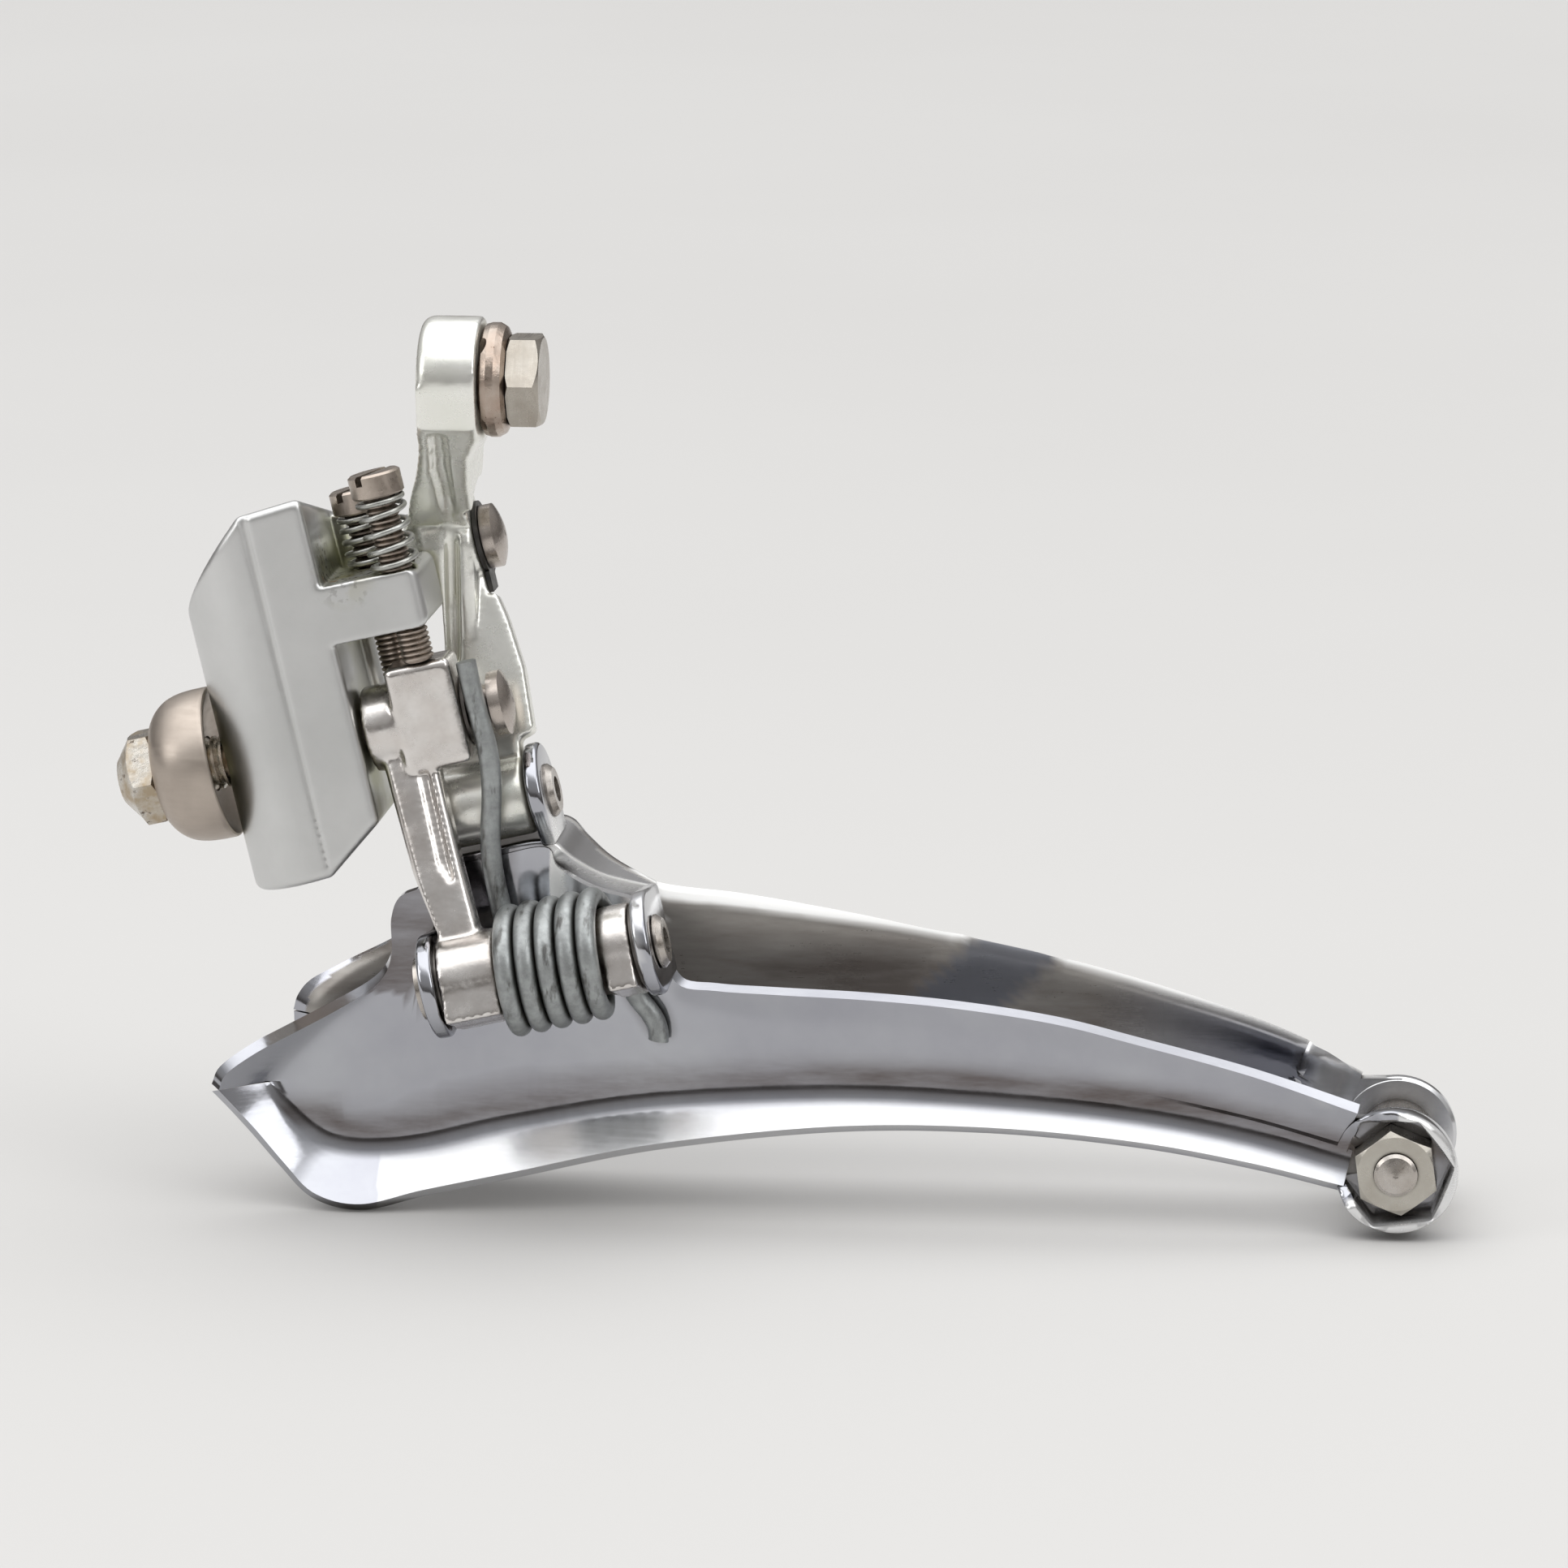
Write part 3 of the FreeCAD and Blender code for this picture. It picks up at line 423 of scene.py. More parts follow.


# the record's material slots
# each part's corner colour below is painted shade in its corners, tinted like grime
MATERIALS = {
    "anodised_alloy": anodised(),
    "polished_alloy": metal(
        "polished_alloy_arm", (0.91, 0.905, 0.87), (0.83, 0.835, 0.77), (0.2, 0.33), patch=110, grain=700,
        grain_depth=0.02, corner_grime_and_shade=(0.66, 0.64, 0.54), corner_grime_and_shade_reach=0.0014, spot=(0.12, 0.11, 0.09), spot_size=0.05,
        metallic=0.8),
    "cast_alloy": metal(
        "cast_alloy_tumbled", (0.80, 0.78, 0.76), (0.64, 0.60, 0.57), (0.14, 0.33), patch=230, grain=520,
        grain_depth=0.03, corner_grime_and_shade=(0.16, 0.13, 0.10), corner_grime_and_shade_reach=0.0016, spot=(0.14, 0.12, 0.10), spot_size=0.05),
    "chromed_steel": chrome(),
    "worn_nickel": rusted_nickel(),
    "satin_nickel": metal(
        "satin_nickel_brown", (0.50, 0.44, 0.385), (0.42, 0.365, 0.32), (0.36, 0.46), patch=170, grain=3200,
        grain_depth=0.010, brushed=(400, 400, 2600), spot=(0.12, 0.10, 0.09)),
    "rivet_steel": metal(
        "rivet_steel_turned", (0.52, 0.47, 0.43), (0.42, 0.37, 0.33), (0.2, 0.34), patch=300, grain=3000,
        grain_depth=0.01, corner_grime_and_shade=(0.10, 0.08, 0.07), corner_grime_and_shade_reach=0.001),
    "black_steel": metal(
        "blackened_steel", (0.035, 0.035, 0.035), (0.08, 0.075, 0.07), (0.28, 0.5), patch=500, grain=2500,
        grain_depth=0.02, metallic=0.7),
    "screw_nickel": metal(
        "screw_nickel_brown", (0.54, 0.475, 0.42), (0.40, 0.34, 0.29), (0.22, 0.4), patch=420, grain=3000,
        grain_depth=0.015, corner_grime_and_shade=(0.07, 0.055, 0.04), corner_grime_and_shade_reach=0.0008),
    "bright_spring": metal(
        "spring_wire_bright", (0.52, 0.53, 0.51), (0.38, 0.38, 0.35), (0.22, 0.42), patch=500, grain=3000,
        grain_depth=0.015, spot=(0.13, 0.10, 0.06), spot_size=0.15),
    "bolt_steel": metal(
        "bolt_steel_nickel", (0.52, 0.49, 0.44), (0.40, 0.36, 0.31), (0.2, 0.36), patch=260, grain=2500,
        grain_depth=0.014, brushed=(5200, 300, 300), corner_grime_and_shade=(0.10, 0.08, 0.06), corner_grime_and_shade_reach=0.0008),
    "copper_nickel": metal(
        "anchor_nickel_coppery", (0.50, 0.435, 0.38), (0.38, 0.29, 0.235), (0.18, 0.4), patch=330, grain=1500,
        grain_depth=0.05, corner_grime_and_shade=(0.08, 0.05, 0.035), corner_grime_and_shade_reach=0.001, spot=(0.11, 0.07, 0.05), spot_size=0.16),
    "nut_steel": metal(
        "nut_steel_nickel", (0.55, 0.53, 0.48), (0.46, 0.43, 0.38), (0.24, 0.36), patch=330, grain=2600,
        grain_depth=0.012, corner_grime_and_shade=(0.10, 0.09, 0.07), corner_grime_and_shade_reach=0.0007),
    "pin_steel": metal(
        "pin_steel_plated", (0.56, 0.53, 0.50), (0.42, 0.38, 0.34), (0.18, 0.36), patch=380, grain=2600,
        grain_depth=0.012, corner_grime_and_shade=(0.07, 0.055, 0.045), corner_grime_and_shade_reach=0.0008),
    "dark_washer": metal(
        "dark_washer_steel", (0.16, 0.15, 0.14), (0.09, 0.08, 0.075), (0.3, 0.5), patch=500, grain=2600,
        grain_depth=0.02),
    "dull_spring": streaked_zinc(),
}

for entry in frame["record"]["subparts"]:
    node = frame["nodes"][entry["node"]]
    node.data.materials.clear()
    node.data.materials.append(MATERIALS[entry["material_slot"]])


def dress(obj, body, slot, *nodes):
    """Finish a new piece: its material, the body it rides on and the nodes it stands for."""
    obj.data.materials.clear()
    obj.data.materials.append(MATERIALS[slot])
    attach(obj, body)
    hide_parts(*nodes)


# ---- castings and forgings with softened edges -------------------------------
def softened(node_name, voxel, passes):
    """A copy of a CAD node with its edges rounded over, as tumbling and polishing leave them."""
    made = placed(node_name + "_surface", frame["nodes"][node_name].data.copy())
    remesh = made.modifiers.new("remesh", "REMESH")
    remesh.mode = "VOXEL"
    remesh.voxel_size = voxel * MM
    relax = made.modifiers.new("relax", "SMOOTH")
    relax.factor = 0.5
    relax.iterations = passes
    apply_modifiers(made)
    shade_smooth(made)
    return made


# ---- cage -----------------------------------------------------------------------
def catmull(points, steps):
    """Smooth curve through points of any dimension, steps samples to a span."""
    ends = [points[0] * 2 - points[1]] + list(points) + [points[-1] * 2 - points[-2]]
    curve = []
    for a, b, c, d in zip(ends, ends[1:], ends[2:], ends[3:]):
        for step in range(steps):
            t = step / steps
            curve.append(0.5 * (2 * b + (c - a) * t + (2 * a - 5 * b + 4 * c - d) * t * t
                                + (3 * b - a - 3 * c + d) * t * t * t))
    curve.append(points[-1].copy())
    return curve


def at(curve, place):
    """Point at a fractional station of a list."""
    index = min(int(place), len(curve) - 2)
    return curve[index].lerp(curve[index + 1], place - index)


# Outlines of the two plates in the frame's X and Z: each entry is a point of the lip and the crease it
# folds along.
INNER_BOTTOM = [((-1.7, -31.0), (3.4, -30.9)), ((1.2, -34.7), (5.0, -33.2)),
                ((4.6, -38.7), (7.4, -35.5)), ((7.8, -41.5), (9.6, -36.7)),
                ((12.4, -42.4), (12.9, -37.0)), ((18.5, -41.0), (17.9, -36.4)),
                ((27.0, -39.0), (26.3, -34.3)), ((40.0, -36.1), (39.6, -31.9)),
                ((56.6, -34.1), (56.4, -30.7)), ((71.0, -33.9), (71.0, -31.0)),
                ((84.5, -34.9), (84.7, -32.1)), ((95.0, -36.6), (95.4, -33.9)),
                ((103.6, -38.6), (104.2, -36.2))]
# a top entry adds its share of the full flare, and the bottom edge's entry that it is level with
INNER_TOP = [((-1.7, -31.0), (3.4, -30.9), 1, 0), ((-0.9, -29.2), (4.0, -30.3), 1, 0.8),
             ((2.0, -27.0), (5.2, -29.1), 1, 1.6), ((5.3, -25.2), (7.0, -27.3), 1, 2.4),
             ((9.1, -23.2), (9.9, -24.6), 1, 3.2), ((13.2, -20.7), (13.8, -21.7), 0.8, 4.0),
             ((14.9, -18.4), (15.8, -18.9), 0.2, 4.4), ((15.1, -15.0), (16.1, -15.2), 0, 4.8),
             ((15.9, -12.9), (16.7, -13.6), 0, 5.0), ((17.9, -11.9), (18.4, -12.8), 0, 5.15),
             ((19.0, -10.3), (20.0, -10.8), 0, 5.25), ((24.6, -8.9), (24.8, -9.9), 0, 5.7),
             ((29.6, -7.8), (29.6, -8.8), 0, 6.1), ((30.8, -9.7), (30.6, -10.7), 0, 6.25),
             ((34.0, -11.6), (33.7, -12.6), 0, 6.5), ((38.6, -13.0), (37.8, -13.9), 0, 6.8),
             ((40.2, -16.2), (39.2, -16.4), 0, 6.93), ((42.0, -19.9), (41.3, -21.6), 0.4, 7.12),
             ((45.6, -20.5), (45.4, -23.0), 0.4, 7.33), ((51.0, -20.7), (50.9, -23.7), 0.4, 7.7),
             ((60.0, -21.0), (59.8, -24.1), 0.4, 8.25), ((68.2, -21.6), (67.8, -24.7), 0.4, 8.8),
             ((77.0, -22.8), (76.4, -25.8), 0.4, 9.45), ((84.7, -24.6), (84.0, -27.5), 0.4, 10.0),
             ((95.4, -27.3), (94.8, -29.9), 0.45, 11.0), ((105.2, -30.4), (104.3, -32.6), 0.6, 12.0)]
OUTER_BOTTOM = [((3.4, -27.2), (6.1, -27.2)), ((3.6, -29.0), (6.2, -28.5)),
                ((4.8, -31.2), (7.2, -29.9)), ((7.6, -34.6), (9.3, -32.4)),
                ((13.0, -37.4), (13.5, -34.8)), ((24.0, -36.6), (23.4, -34.0)),
                ((40.0, -33.6), (39.7, -31.2)), ((62.0, -32.0), (62.1, -29.7)),
                ((84.0, -33.4), (84.2, -31.2)), ((95.0, -35.6), (95.3, -33.6)),
                ((104.0, -38.2), (104.4, -36.4))]
OUTER_TOP = [((3.4, -27.2), (6.1, -27.2), 1, 0), ((3.9, -25.6), (6.3, -26.5), 1, 0.9),
             ((5.3, -24.0), (7.2, -25.4), 1, 1.8), ((9.0, -21.8), (9.8, -23.4), 1, 3.0),
             ((14.0, -19.1), (14.7, -20.5), 0.8, 3.9), ((16.2, -16.8), (17.1, -17.4), 0.2, 4.2),
             ((17.2, -11.9), (18.1, -12.4), 0, 4.5), ((19.0, -10.4), (19.6, -11.2), 0, 4.65),
             ((24.6, -9.1), (24.8, -10.1), 0, 5.05), ((29.8, -8.3), (29.9, -9.4), 0, 5.4),
             ((33.6, -11.2), (33.2, -12.4), 0.2, 5.65), ((38.5, -13.6), (38.4, -15.6), 0.8, 5.95),
             ((46.7, -14.5), (46.4, -16.2), 1, 6.3), ((55.4, -15.7), (55.1, -17.0), 1, 6.7),
             ((64.0, -17.1), (63.8, -18.1), 1, 7.1), ((75.6, -19.4), (75.4, -20.3), 1, 7.65),
             ((86.8, -22.3), (86.5, -23.2), 1, 8.2), ((98.6, -26.3), (98.3, -27.1), 0.7, 9.3),
             ((105.2, -30.4), (104.9, -31.2), 0, 10.0)]


def fade(value, start, end):
    """0 up to start, 1 from end on, straight between."""
    return max(0.0, min(1.0, (value - start) / (end - start)))


def eased(share):
    """The share, 0 to 1, with a soft start and end."""
    return share * share * (3 - 2 * share)


def past_fold(x, z):
    """How far a point of the outer plate is past its last fold, ahead of the tail disc."""
    return x - LAST_FOLD[0] - LAST_FOLD_LEAN * (z - LAST_FOLD[1])


def off_step(x, z):
    """How far a point of the outer plate is from the middle line of its slanting step."""
    lean = (x - STEP_FROM[0]) - (z - STEP_FROM[1])
    return abs(lean - STEP_AHEAD)


def bridge_start(x):
    """Y at which the bridge starts: the inner plate, then further and further across."""
    return INNER_FACE + BRIDGE_INSET + fade(x, *BRIDGE_CROSS) * BRIDGE_SHIFT


# a rim's points: shares of the lip's width out from the crease, then shares of the room inside it
LIP_POINTS = (1.0, 0.86, 0.7, 0.52, 0.36, 0.22, 0.1, 0.0)
WEB_POINTS = (0.14, 0.3, 0.5, 0.72, 1.0)
# a rise smaller than this counts as flat web
LEAST_RISE = 0.06


def rim_rows(lip, crease, share, face, side, fold, room):
    """Points from the lip in over the crease to just inside the flat web. The larger fold is, the
    rounder the crease. The sheet's own thickness carries a flared lip further out, so the points stop
    short by that."""
    out = lip - crease
    width = max(out.length - SHEET * math.sin(math.atan(FLARE * share)), LEAST_RIM)
    out.normalize()
    points = []
    for reach in [part * width for part in LIP_POINTS] + [-part * room for part in WEB_POINTS]:
        rise = 0.5 * (reach + math.hypot(reach, fold)) - LEAST_RISE
        flat = crease + out * reach
        points.append(Vector((flat.x, face + side * FLARE * share * max(rise, 0.0), flat.y)))
    return points


def plate(top, bottom, face, side, top_fold, steps, web_rows, joggle=None):
    """One cage plate as a grid from lip to lip, SHEET thick behind its face."""
    tops = catmull([Vector((*lip, *crease)) for lip, crease, _, _ in top], steps)
    levels = catmull([Vector((share, level)) for _, _, share, level in top], steps)
    fine = 24
    bottom_fold = 1.0
    most_room, room_share = 2.1, 0.42
    bottoms = catmull([Vector((*lip, *crease)) for lip, crease in bottom], fine)
    columns = []
    for upper, (share, level) in zip(tops, levels):
        lower = at(bottoms, min(max(level, 0), len(bottom) - 1) * fine)
        share = min(max(share, 0), 1)
        lip, crease = Vector(upper[:2]), Vector(upper[2:])
        low_lip, low_crease = Vector(lower[:2]), Vector(lower[2:])
        room = min(most_room, room_share * (crease - low_crease).length)
        first = rim_rows(lip, crease, share, face, side, top_fold, room)
        last = rim_rows(low_lip, low_crease, 1, face, side, bottom_fold, room)
        web = [first[-1].lerp(last[-1], (row + 1) / (web_rows + 1)) for row in range(web_rows)]
        column = first + web + last[::-1]
        columns.append([joggle(point) for point in column] if joggle else column)
    points = drawn(point for column in columns for point in column)
    made = mesh_object("plate", points, grid_faces(len(columns), len(columns[0])))
    return thickened(made, edge_width=0.32, towards=Vector((0, side, 0)))


def outer_joggle(point):
    """The outer plate's slanting step, half way along, and the facet folded in ahead of its tail disc."""
    step_depth, facet_depth = 0.3, 0.5
    across = eased(fade(-off_step(point.x, point.z), -6.0, -4.2))
    down = eased(fade(point.z, -29, -25.5))
    fold = past_fold(point.x, point.z)
    facet = fade(fold, 0, 0.5) * (1 - fade(fold, 0.5, 4.2))
    return Vector((point.x, point.y - step_depth * across * down - facet_depth * facet, point.z))


def bridge():
    """Top of the cage: flat under the upper pin, then falling away to the outer plate."""
    profile = catmull([Vector(p) for p in ((18.2, -9.75), (24.0, -8.4), (28.6, -7.35), (30.6, -7.6),
                                           (32.2, -9.3), (34.6, -11.4), (38.6, -13.6))], 6)
    spans = 10
    far = OUTER_FACE - BRIDGE_INSET
    points = []
    for point in profile:
        near = bridge_start(point.x)
        points += [Vector((point.x, near + (far - near) * k / spans, point.y)) for k in range(spans + 1)]
    made = mesh_object("bridge", drawn(points), grid_faces(len(profile), spans + 1))
    return thickened(made, edge_width=0.3, towards=Vector((0, 0, 1)))


def lug_outline(radius, root):
    """Circle about the pin, drawn out to a square root. root is two corners, (y, z) each."""
    (ya, za), (yb, zb) = root
    away = Vector(((ya + yb) / 2, (za + zb) / 2)).normalized()
    across = Vector((-away.y, away.x))
    corners = sorted((Vector(corner) for corner in root), key=lambda corner: corner.dot(across))
    spans = 28
    start = math.atan2(away.y, away.x) + math.radians(88)
    arc = []
    for k in range(spans + 1):
        angle = start + math.radians(184) * k / spans
        arc.append((radius * math.cos(angle), radius * math.sin(angle)))
    return arc + [tuple(corner) for corner in corners]


def ear(start, radius, centre, root):
    """Rounded lug round a pin, cut from the sheet and folded square to the pins."""
    work = bmesh.new()
    near, far = [[work.verts.new((start + depth, y, z)) for y, z in lug_outline(radius, root)]
                 for depth in (0, SHEET)]
    count = len(near)
    work.faces.new(near[::-1])
    work.faces.new(far)
    for k in range(count):
        work.faces.new((near[k], near[(k + 1) % count], far[(k + 1) % count], far[k]))
    bmesh.ops.recalc_face_normals(work, faces=work.faces)
    mesh = bpy.data.meshes.new("ear")
    work.to_mesh(mesh)
    work.free()
    turn = Matrix((AXIS, SIDE, RISE)).transposed().to_4x4()
    mesh.transform(Matrix.Translation(centre) @ turn @ Matrix.Scale(MM, 4))
    return bevelled(placed("ear", mesh), width=0.38, segments=4, degrees=50)


# angle in degrees round the tail eye, and the share of the cup's full height there
CUP_HEIGHTS = [(0, 1), (72, 1), (100, 0.66), (122, 0.36), (150, 0.03), (192, 0.03), (204, 0.5), (220, 1),
               (360, 1)]


def cup_height(degrees):
    """Share of the cup's full height at an angle: it opens towards the plate's web."""
    for (start, low), (end, high) in zip(CUP_HEIGHTS, CUP_HEIGHTS[1:]):
        if degrees <= end:
            break
    return low + (high - low) * eased((degrees - start) / (end - start))


def tail_ring(radius, depth, segments):
    """Circle about the tail eye at one depth in Y."""
    angles = [2 * math.pi * k / segments for k in range(segments)]
    return [Vector((TAIL[0] + radius * math.cos(angle), depth, TAIL[1] + radius * math.sin(angle)))
            for angle in angles]


def tail_cup():
    """Rim of the tail eye, turned up round the nut, with a faceted inside."""
    segments = 120
    base = -0.02
    # radius, height off the plate's face, and how far the round gives way to the six facets
    profile = ((5.2, SHEET, 0), (TAIL_RADIUS, 0.1, 0), (5.62, -0.6, 0), (5.72, -2.4, 0), (5.7, -2.9, 0),
               (5.58, -3.25, 0), (5.5, -3.38, 0.3), (5.42, -3.3, 0.8), (5.34, -3.0, 1), (5.2, base, 1),
               (2.2, base, 0))
    vertices = []
    for radius, depth, faceted in profile:
        for k in range(segments):
            angle = 2 * math.pi * k / segments
            local = (angle - CUP_TURN) % (math.pi / 3) - math.pi / 6
            facet = math.cos(math.pi / 6) / math.cos(local)
            size = radius * (1 - faceted + faceted * facet)
            tall = cup_height(360 * k / segments) if depth < base else 1
            vertices.append(Vector((TAIL[0] + size * math.cos(angle), INNER_FACE + depth * tall,
                                    TAIL[1] + size * math.sin(angle))))
    last = (len(profile) - 1) * segments
    faces = ring_faces(len(profile), segments)
    faces.append(tuple(range(segments)))
    faces.append(tuple(reversed(range(last, last + segments))))
    return mesh_object("tail_cup", drawn(vertices), faces)


def tail_disc():
    """Round end of the outer plate."""
    segments = 64
    back = OUTER_FACE - SHEET
    profile = ((5.2, OUTER_FACE + SEAM), (TAIL_RADIUS, OUTER_FACE - 0.3), (TAIL_RADIUS, back + 0.3),
               (5.2, back - SEAM))
    points = [point for radius, depth in profile for point in tail_ring(radius, depth, segments)]
    last = (len(profile) - 1) * segments
    faces = [tuple(range(segments)), tuple(reversed(range(last, last + segments)))]
    return mesh_object("tail_disc", drawn(points), faces + ring_faces(len(profile), segments))


def tail_neck(face, side, points):
    """Short piece of sheet that joins a plate to its tail eye."""
    front = face - side * SEAM
    back = front - side * (SHEET - 2 * SEAM)
    count = len(points)
    outline = [Vector((x, depth, z)) for depth in (front, back) for x, z in points]
    faces = [tuple(range(count)), tuple(reversed(range(count, 2 * count)))]
    for k in range(count):
        faces.append((k, (k + 1) % count, count + (k + 1) % count, count + k))
    return mesh_object("tail_neck", drawn(outline), faces)


def joined(name, objects):
    """One object from several, each with its small holes filled and its normals outward."""
    work = bmesh.new()
    tiny = 0.002 * MM
    for obj in objects:
        part = bmesh.new()
        part.from_mesh(obj.data)
        bmesh.ops.remove_doubles(part, verts=part.verts, dist=tiny)
        bmesh.ops.dissolve_degenerate(part, edges=part.edges, dist=tiny)
        bmesh.ops.holes_fill(part, edges=[edge for edge in part.edges if len(edge.link_faces) == 1], sides=8)
        bmesh.ops.recalc_face_normals(part, faces=part.faces)
        mesh = bpy.data.meshes.new("part")
        part.to_mesh(mesh)
        part.free()
        work.from_mesh(mesh)
        bpy.data.meshes.remove(mesh)
        bpy.data.objects.remove(obj)
    mesh = bpy.data.meshes.new(name)
    work.to_mesh(mesh)
    work.free()
    return placed(name, mesh)


def mark_tarnish_and_painted_light(shell):
    """Values for the chrome's colour and gloss: bloom above the lower fold and on the crown; inside, painted
    reflection and shade on the far plate's dull inner face; step, painted shade on its slanting step; and
    edge, a painted highlight on the lip along its top, past its last fold, on the bright lower flange, on
    the tail cup's rim and where the bridge falls away."""
    fold = catmull([Vector(crease) for _, crease in INNER_BOTTOM[2:]], 10)
    top_edge = catmull([Vector(lip) for lip, _, _, _ in OUTER_TOP[10:]], 10)
    outer_back = OUTER_FACE - SHEET
    kinds = ("bloom", "inside", "step", "edge")
    for kind in kinds:
        shell.data.attributes.new(kind, "FLOAT", "POINT")
    marks = {kind: shell.data.attributes[kind].data for kind in kinds}
    for index, vertex in enumerate(shell.data.vertices):
        x, y, z = (vertex.co - DRAWN_FROM) / MM
        flat = Vector((x, z))
        on_inner = abs(y - INNER_FACE) < 0.7
        if on_inner and z < -22:
            near = min(fold, key=lambda point: (point - flat).length_squared)
            marks["bloom"][index].value = math.exp(-((z - near.y - 1.7) / 1.5) ** 2)
        elif on_inner and x < 27:
            marks["bloom"][index].value = 0.9 - 0.45 * fade(x, 20, 26)
        # painted highlight on the inner plate's lower flange
        if y < INNER_FACE - 0.5 and z < -30 and 14 < x < 103:
            marks["edge"][index].value = 0.45 * fade(INNER_FACE - y, 0.5, 1.2)
        # painted highlight on the tail cup's rim
        if x > 103 and y < INNER_FACE - 2.6:
            marks["edge"][index].value = 0.7
        # the far plate's inner face: painted reflection and shade, painted shade on its step, painted highlight
        # past its last fold
        if abs(y - outer_back) < 0.75:
            marks["inside"][index].value = 1.0 - fade(x, 80, 96)
            marks["step"][index].value = (1 - fade(off_step(x, z), 4.2, 5.2)) * fade(z, -27.5, -26)
            marks["edge"][index].value = 0.45 * fade(past_fold(x, z), 0, 0.5)
        # painted highlight along the outer plate's top lip
        if y > outer_back and x > 36:
            near = min(top_edge, key=lambda point: (point - flat).length_squared)
            overlay_share = (1 - fade((near - flat).length, 1.0, 1.5)) * fade(y, outer_back, OUTER_FACE - 1.15)
            marks["edge"][index].value = max(marks["edge"][index].value, overlay_share)
        # painted highlight where the bridge falls away
        if 30 < x < 40 and z > -17 and y < outer_back:
            marks["edge"][index].value = 0.35 + 0.65 * (1 - fade(abs(y - bridge_start(x)), 0.3, 0.8))


def cage_shell():
    """Both plates, the bridge between them, the four ears and the tail. Each ear's first number is
    its nearer face along AXIS from the seat."""
    lower_root = ((7.6, -4.6), (7.6, 3.9))
    upper_near = ((-2.9, -4.6), (3.4, -4.6))
    upper_far = ((-2.9, -4.6), (4.6, -4.6))
    outer_neck = [(102.8, -31.6), (104.9, -30.7), (108.9, -30.6), (108.0, -41.3), (103.6, -38.2)]
    inner_neck = [(101.5, -31.6), (107.0, -31.6), (107.0, -39.0), (101.5, -37.0)]
    return joined("cage_shell", [
        plate(INNER_TOP, INNER_BOTTOM, INNER_FACE, -1, top_fold=0.6, steps=6, web_rows=5),
        plate(OUTER_TOP, OUTER_BOTTOM, OUTER_FACE, 1, top_fold=0.35, steps=12, web_rows=8,
              joggle=outer_joggle),
        bridge(),
        ear(14.8 - PINS_ALONG, 4.85, P_LOWER, lower_root),
        ear(35.1 - PINS_ALONG, 4.85, P_LOWER, lower_root),
        ear(15.3 - PINS_ALONG, 3.55, P_UPPER, upper_near),
        ear(26.8 - PINS_ALONG, 4.65, P_UPPER, upper_far),
        tail_cup(),
        tail_disc(),
        tail_neck(OUTER_FACE, 1, outer_neck),
        tail_neck(INNER_FACE, -1, inner_neck),
    ])


# ---- springs and the turned washer --------------------------------------------------
def coil(name, centre, low, high, mean, wire, turns):
    """Compression spring with closed ends, along RISE. low and high bound the wire; mean and wire are
    the radii of the turns and of the wire."""
    path = bpy.data.curves.new(name, "CURVE")
    path.dimensions = "3D"
    path.bevel_depth = wire * MM
    path.bevel_resolution = 5
    path.use_fill_caps = True
    samples = int(turns * 28)
    spline = path.splines.new("POLY")
    spline.points.add(samples)
    # shares of the turns and of the climb in each closed end
    closed = 0.8 / turns
    rest = 0.06
    for k in range(samples + 1):
        t = k / samples
        angle = 2 * math.pi * turns * t
        if t < closed:
            climb = rest * t / closed
        elif t > 1 - closed:
            climb = 1 - rest * (1 - t) / closed
        else:
            climb = rest + (1 - 2 * rest) * (t - closed) / (1 - 2 * closed)
        height = low + wire + (high - low - 2 * wire) * climb
        point = centre + (AXIS * math.cos(angle) + SIDE * math.sin(angle)) * mean * MM + RISE * height * MM
        spline.points[k].co = (*point, 1)
    line = placed(name, path)
    graph = bpy.context.evaluated_depsgraph_get()
    mesh = bpy.data.meshes.new_from_object(line.evaluated_get(graph))
    bpy.data.objects.remove(line)
    made = placed(name, mesh)
    shade_smooth(made)
    return made


def fixing_washer():
    """Deep domed washer, turned about AXIS through the seat, with a thin rim and a hollow back. Its
    profile is (along AXIS from the crown, radius)."""
    start = Vector((-6.15, 0))
    outside = catmull([Vector(p) for p in ((0.0, 4.7), (0.12, 5.15), (0.8, 6.0), (1.75, 6.65), (2.9, 7.0),
                                           (4.2, 7.13), (5.6, 7.14))], 6)
    profile = [Vector((0.0, 2.62))] + outside + [Vector(p) for p in ((5.82, 7.06), (5.92, 6.9), (5.92, 6.6),
                                                                     (4.95, 4.6), (4.75, 2.62))]
    segments = 120
    vertices = []
    for point in profile:
        along, radius = point + start
        for k in range(segments):
            angle = 2 * math.pi * k / segments
            vertices.append((AXIS * along + (SIDE * math.cos(angle) + RISE * math.sin(angle)) * radius) * MM)
    count = len(profile)
    faces = []
    for r in range(count):
        for k in range(segments):
            here = r * segments
            there = ((r + 1) % count) * segments
            faces.append((here + k, here + (k + 1) % segments, there + (k + 1) % segments, there + k))
    made = mesh_object("fixing_washer_turned", vertices, faces)
    work = bmesh.new()
    work.from_mesh(made.data)
    bmesh.ops.recalc_face_normals(work, faces=work.faces)
    work.to_mesh(made.data)
    work.free()
    smooth(made, 32)
    return made


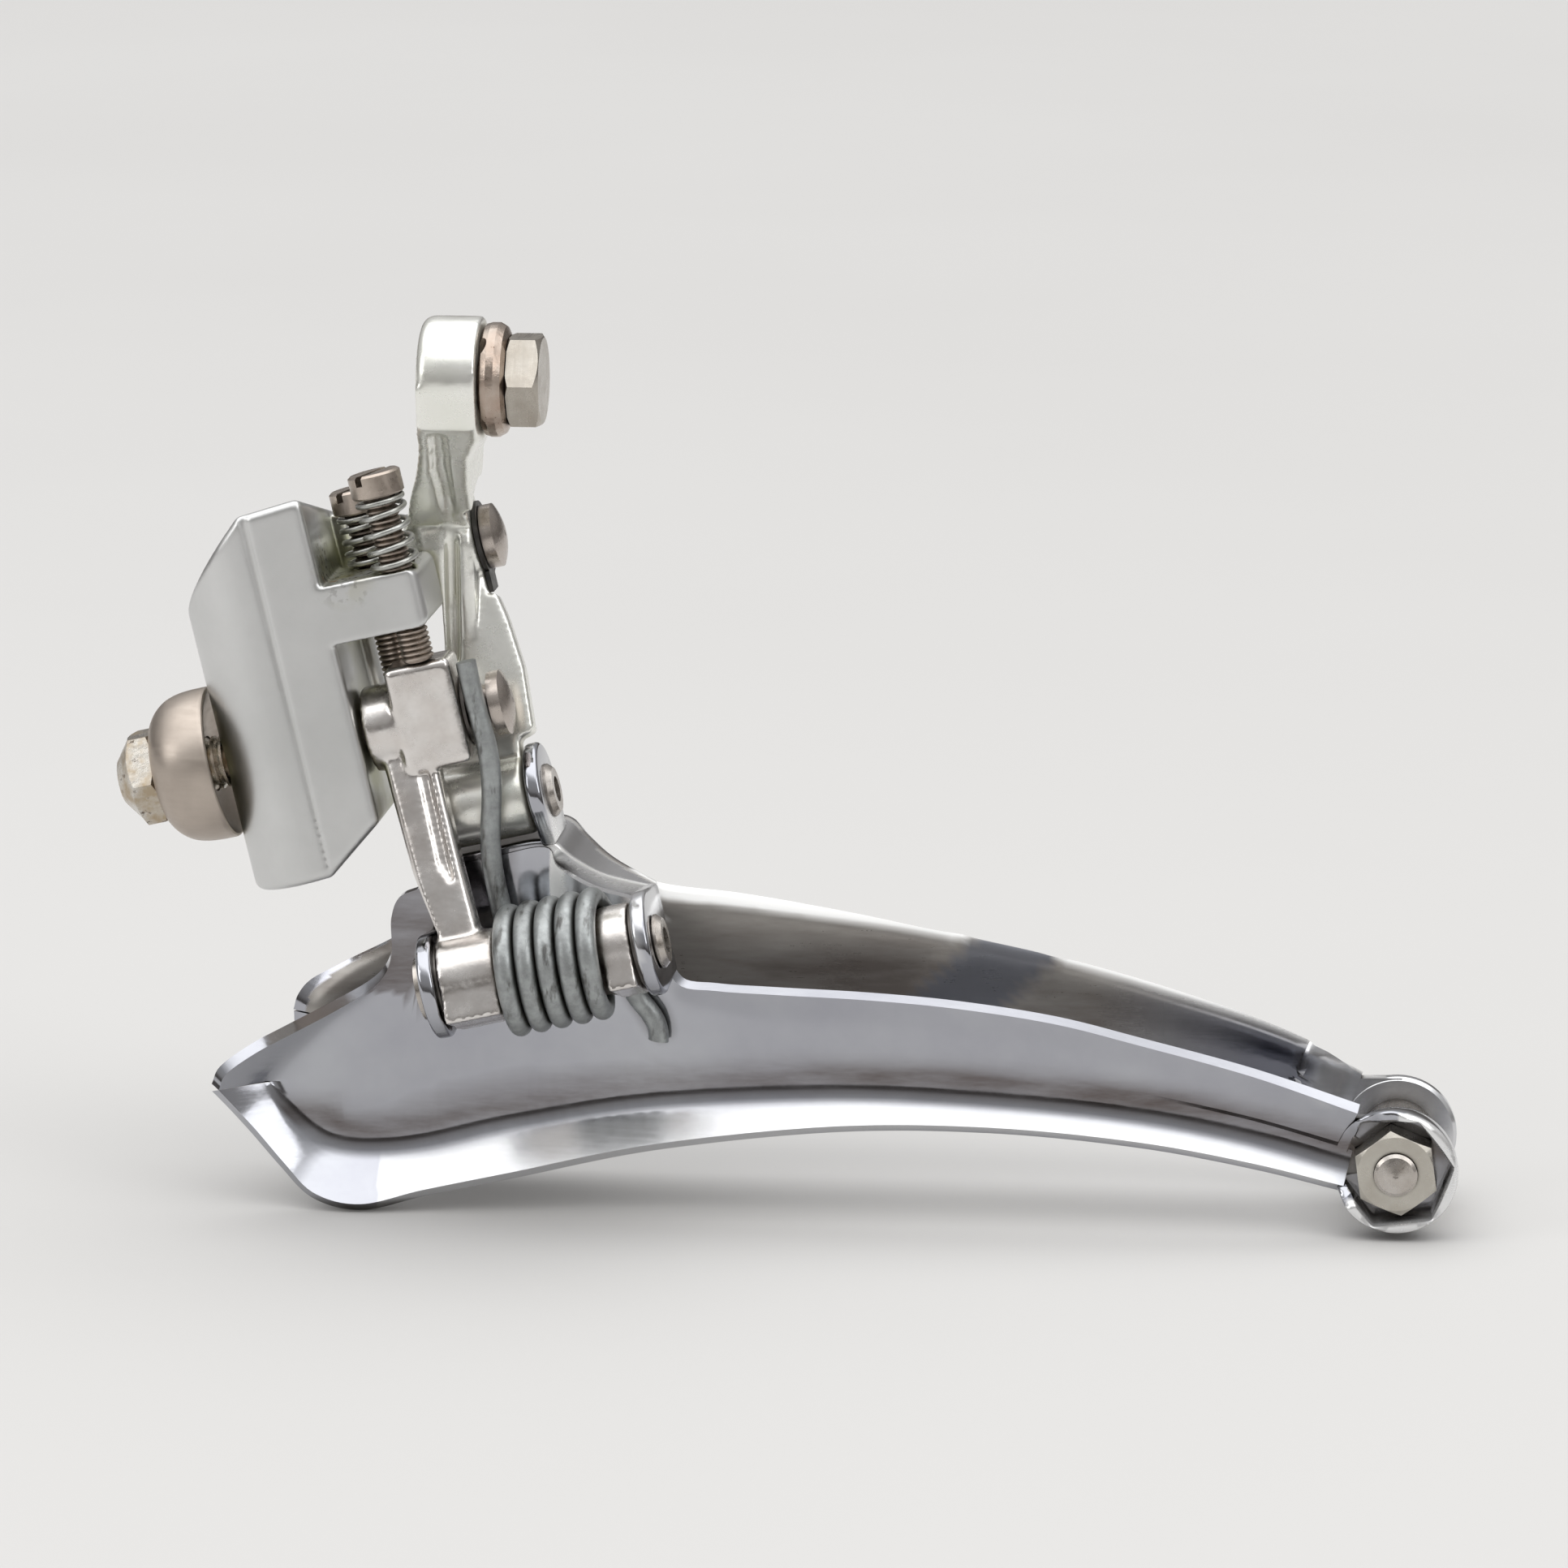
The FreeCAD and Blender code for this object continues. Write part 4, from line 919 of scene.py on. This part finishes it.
def limit_springs():
    """Both screws' springs, from the shelf's top to the screw's head. Heights are from the seat."""
    shelf, clearance = 14.32, 0.02
    for kind, pivot_height, head in (("low", 14.0, 21.3), ("high", 12.0, 19.4)):
        pivot = Vector(JOINTS[kind + "_screw_turn"]["pos_m"])
        spring = coil(kind + "_spring_wire", pivot, shelf - pivot_height, head - clearance - pivot_height,
                      mean=2.08, wire=0.27, turns=5.2)
        dress(spring, "mount", "bright_spring", kind + "_limit_spring")


def return_spring():
    """The torsion spring: its upper leg on the inner link and its lower leg on the cage."""
    made = placed("return_spring_wire", frame["nodes"]["return_spring"].data.copy())
    made.data.materials.clear()
    made.data.materials.append(MATERIALS["dull_spring"])
    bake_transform(made)
    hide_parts("return_spring")


# ---- build ------------------------------------------------------------------------
dress(softened("mounting_block", voxel=0.17, passes=16), "mount", "anodised_alloy", "mounting_block")
dress(softened("cable_arm", voxel=0.2, passes=22), "cable_arm", "polished_alloy", "cable_arm")
dress(softened("inner_link", voxel=0.2, passes=18), "inner_link", "cast_alloy", "inner_link")
dress(fixing_washer(), "mount", "satin_nickel", "fixing_washer")
shell = cage_shell()
mark_tarnish_and_painted_light(shell)
smooth(shell, 38)
dress(shell, "cage", "chromed_steel", "cage")
limit_springs()
return_spring()


# ---- floor, light, camera -----------------------------------------------------------
FLOOR_Z = cad_bounds[0][2] - 0.05 * MM


def floor():
    """Plain pale paper."""
    size = 3.0
    corners = ((-size, -size), (size, -size), (size, size), (-size, size))
    made = mesh_object("floor", [(x, y, FLOOR_Z) for x, y in corners], [(0, 1, 2, 3)])
    g = Graph("floor_paper")
    tone = g.spread(g.noise(3.0, 4), 0.3, 0.7, 0, 1)
    g.link(g.mix(tone, (0.60, 0.594, 0.584), (0.58, 0.573, 0.563)), g.shader.inputs["Base Color"])
    g.shader.inputs["Roughness"].default_value = 0.6
    g.shader.inputs["Specular IOR Level"].default_value = 0.25
    g.bump(g.noise(700, 4), 0.25, 0.02 * MM)
    made.data.materials.append(g.material)


def area_light(name, place, target, size, power):
    """Square soft light turned towards the target."""
    lamp = bpy.data.lights.new(name, "AREA")
    lamp.shape = "RECTANGLE"
    lamp.size = lamp.size_y = size
    lamp.energy = power
    made = placed(name, lamp)
    made.location = place
    made.rotation_euler = (Vector(target) - Vector(place)).to_track_quat("-Z", "Y").to_euler()


def studio():
    """The world: dark at the horizon, grey walls and a bright soft ceiling."""
    world = bpy.data.worlds.new("room")
    world.use_nodes = True
    nodes, links = world.node_tree.nodes, world.node_tree.links
    coords = nodes.new("ShaderNodeTexCoord")
    split = nodes.new("ShaderNodeSeparateXYZ")
    ramp = nodes.new("ShaderNodeValToRGB")
    links.new(coords.outputs["Generated"], split.inputs["Vector"])
    links.new(split.outputs["Z"], ramp.inputs["Fac"])
    stops = ((0.0, (0.045, 0.041, 0.038)), (0.09, (0.06, 0.056, 0.053)), (0.24, (0.17, 0.166, 0.162)),
             (0.56, (0.22, 0.22, 0.22)), (0.68, (0.42, 0.42, 0.42)), (0.78, (0.96, 0.96, 0.96)),
             (1.0, (1.0, 1.0, 1.0)))
    for element, (place, colour) in zip(ramp.color_ramp.elements, (stops[0], stops[-1])):
        element.position = place
        element.color = (*colour, 1)
    for place, colour in stops[1:-1]:
        ramp.color_ramp.elements.new(place).color = (*colour, 1)
    links.new(ramp.outputs["Color"], nodes["Background"].inputs["Color"])
    nodes["Background"].inputs["Strength"].default_value = 2.15
    bpy.context.scene.world = world


def camera():
    """The photograph's angle: a little to the right of square on and above, through a long lens."""
    azimuth, elevation, distance = math.radians(6), math.radians(12), 0.6
    target = Vector((52.2, 0, -1.1)) * MM
    back = Vector((math.sin(azimuth) * math.cos(elevation), -math.cos(azimuth) * math.cos(elevation),
                   math.sin(elevation)))
    data = bpy.data.cameras.new("camera")
    data.sensor_width = 36
    data.lens = 149
    data.clip_start = 0.01
    made = placed("camera", data)
    made.location = target + back * distance
    made.rotation_euler = (-back).to_track_quat("-Z", "Y").to_euler()
    bpy.context.scene.camera = made


floor()
studio()
area_light("left_card", (-0.5, -0.35, 0.3), (0.0, 0.0, 0.0), size=0.35, power=0.8)
area_light("right_card", (0.78, -0.46, 0.52), (0.0, 0.0, -0.03), size=0.5, power=1.5)
camera()
bpy.context.scene.view_settings.view_transform = "Standard"
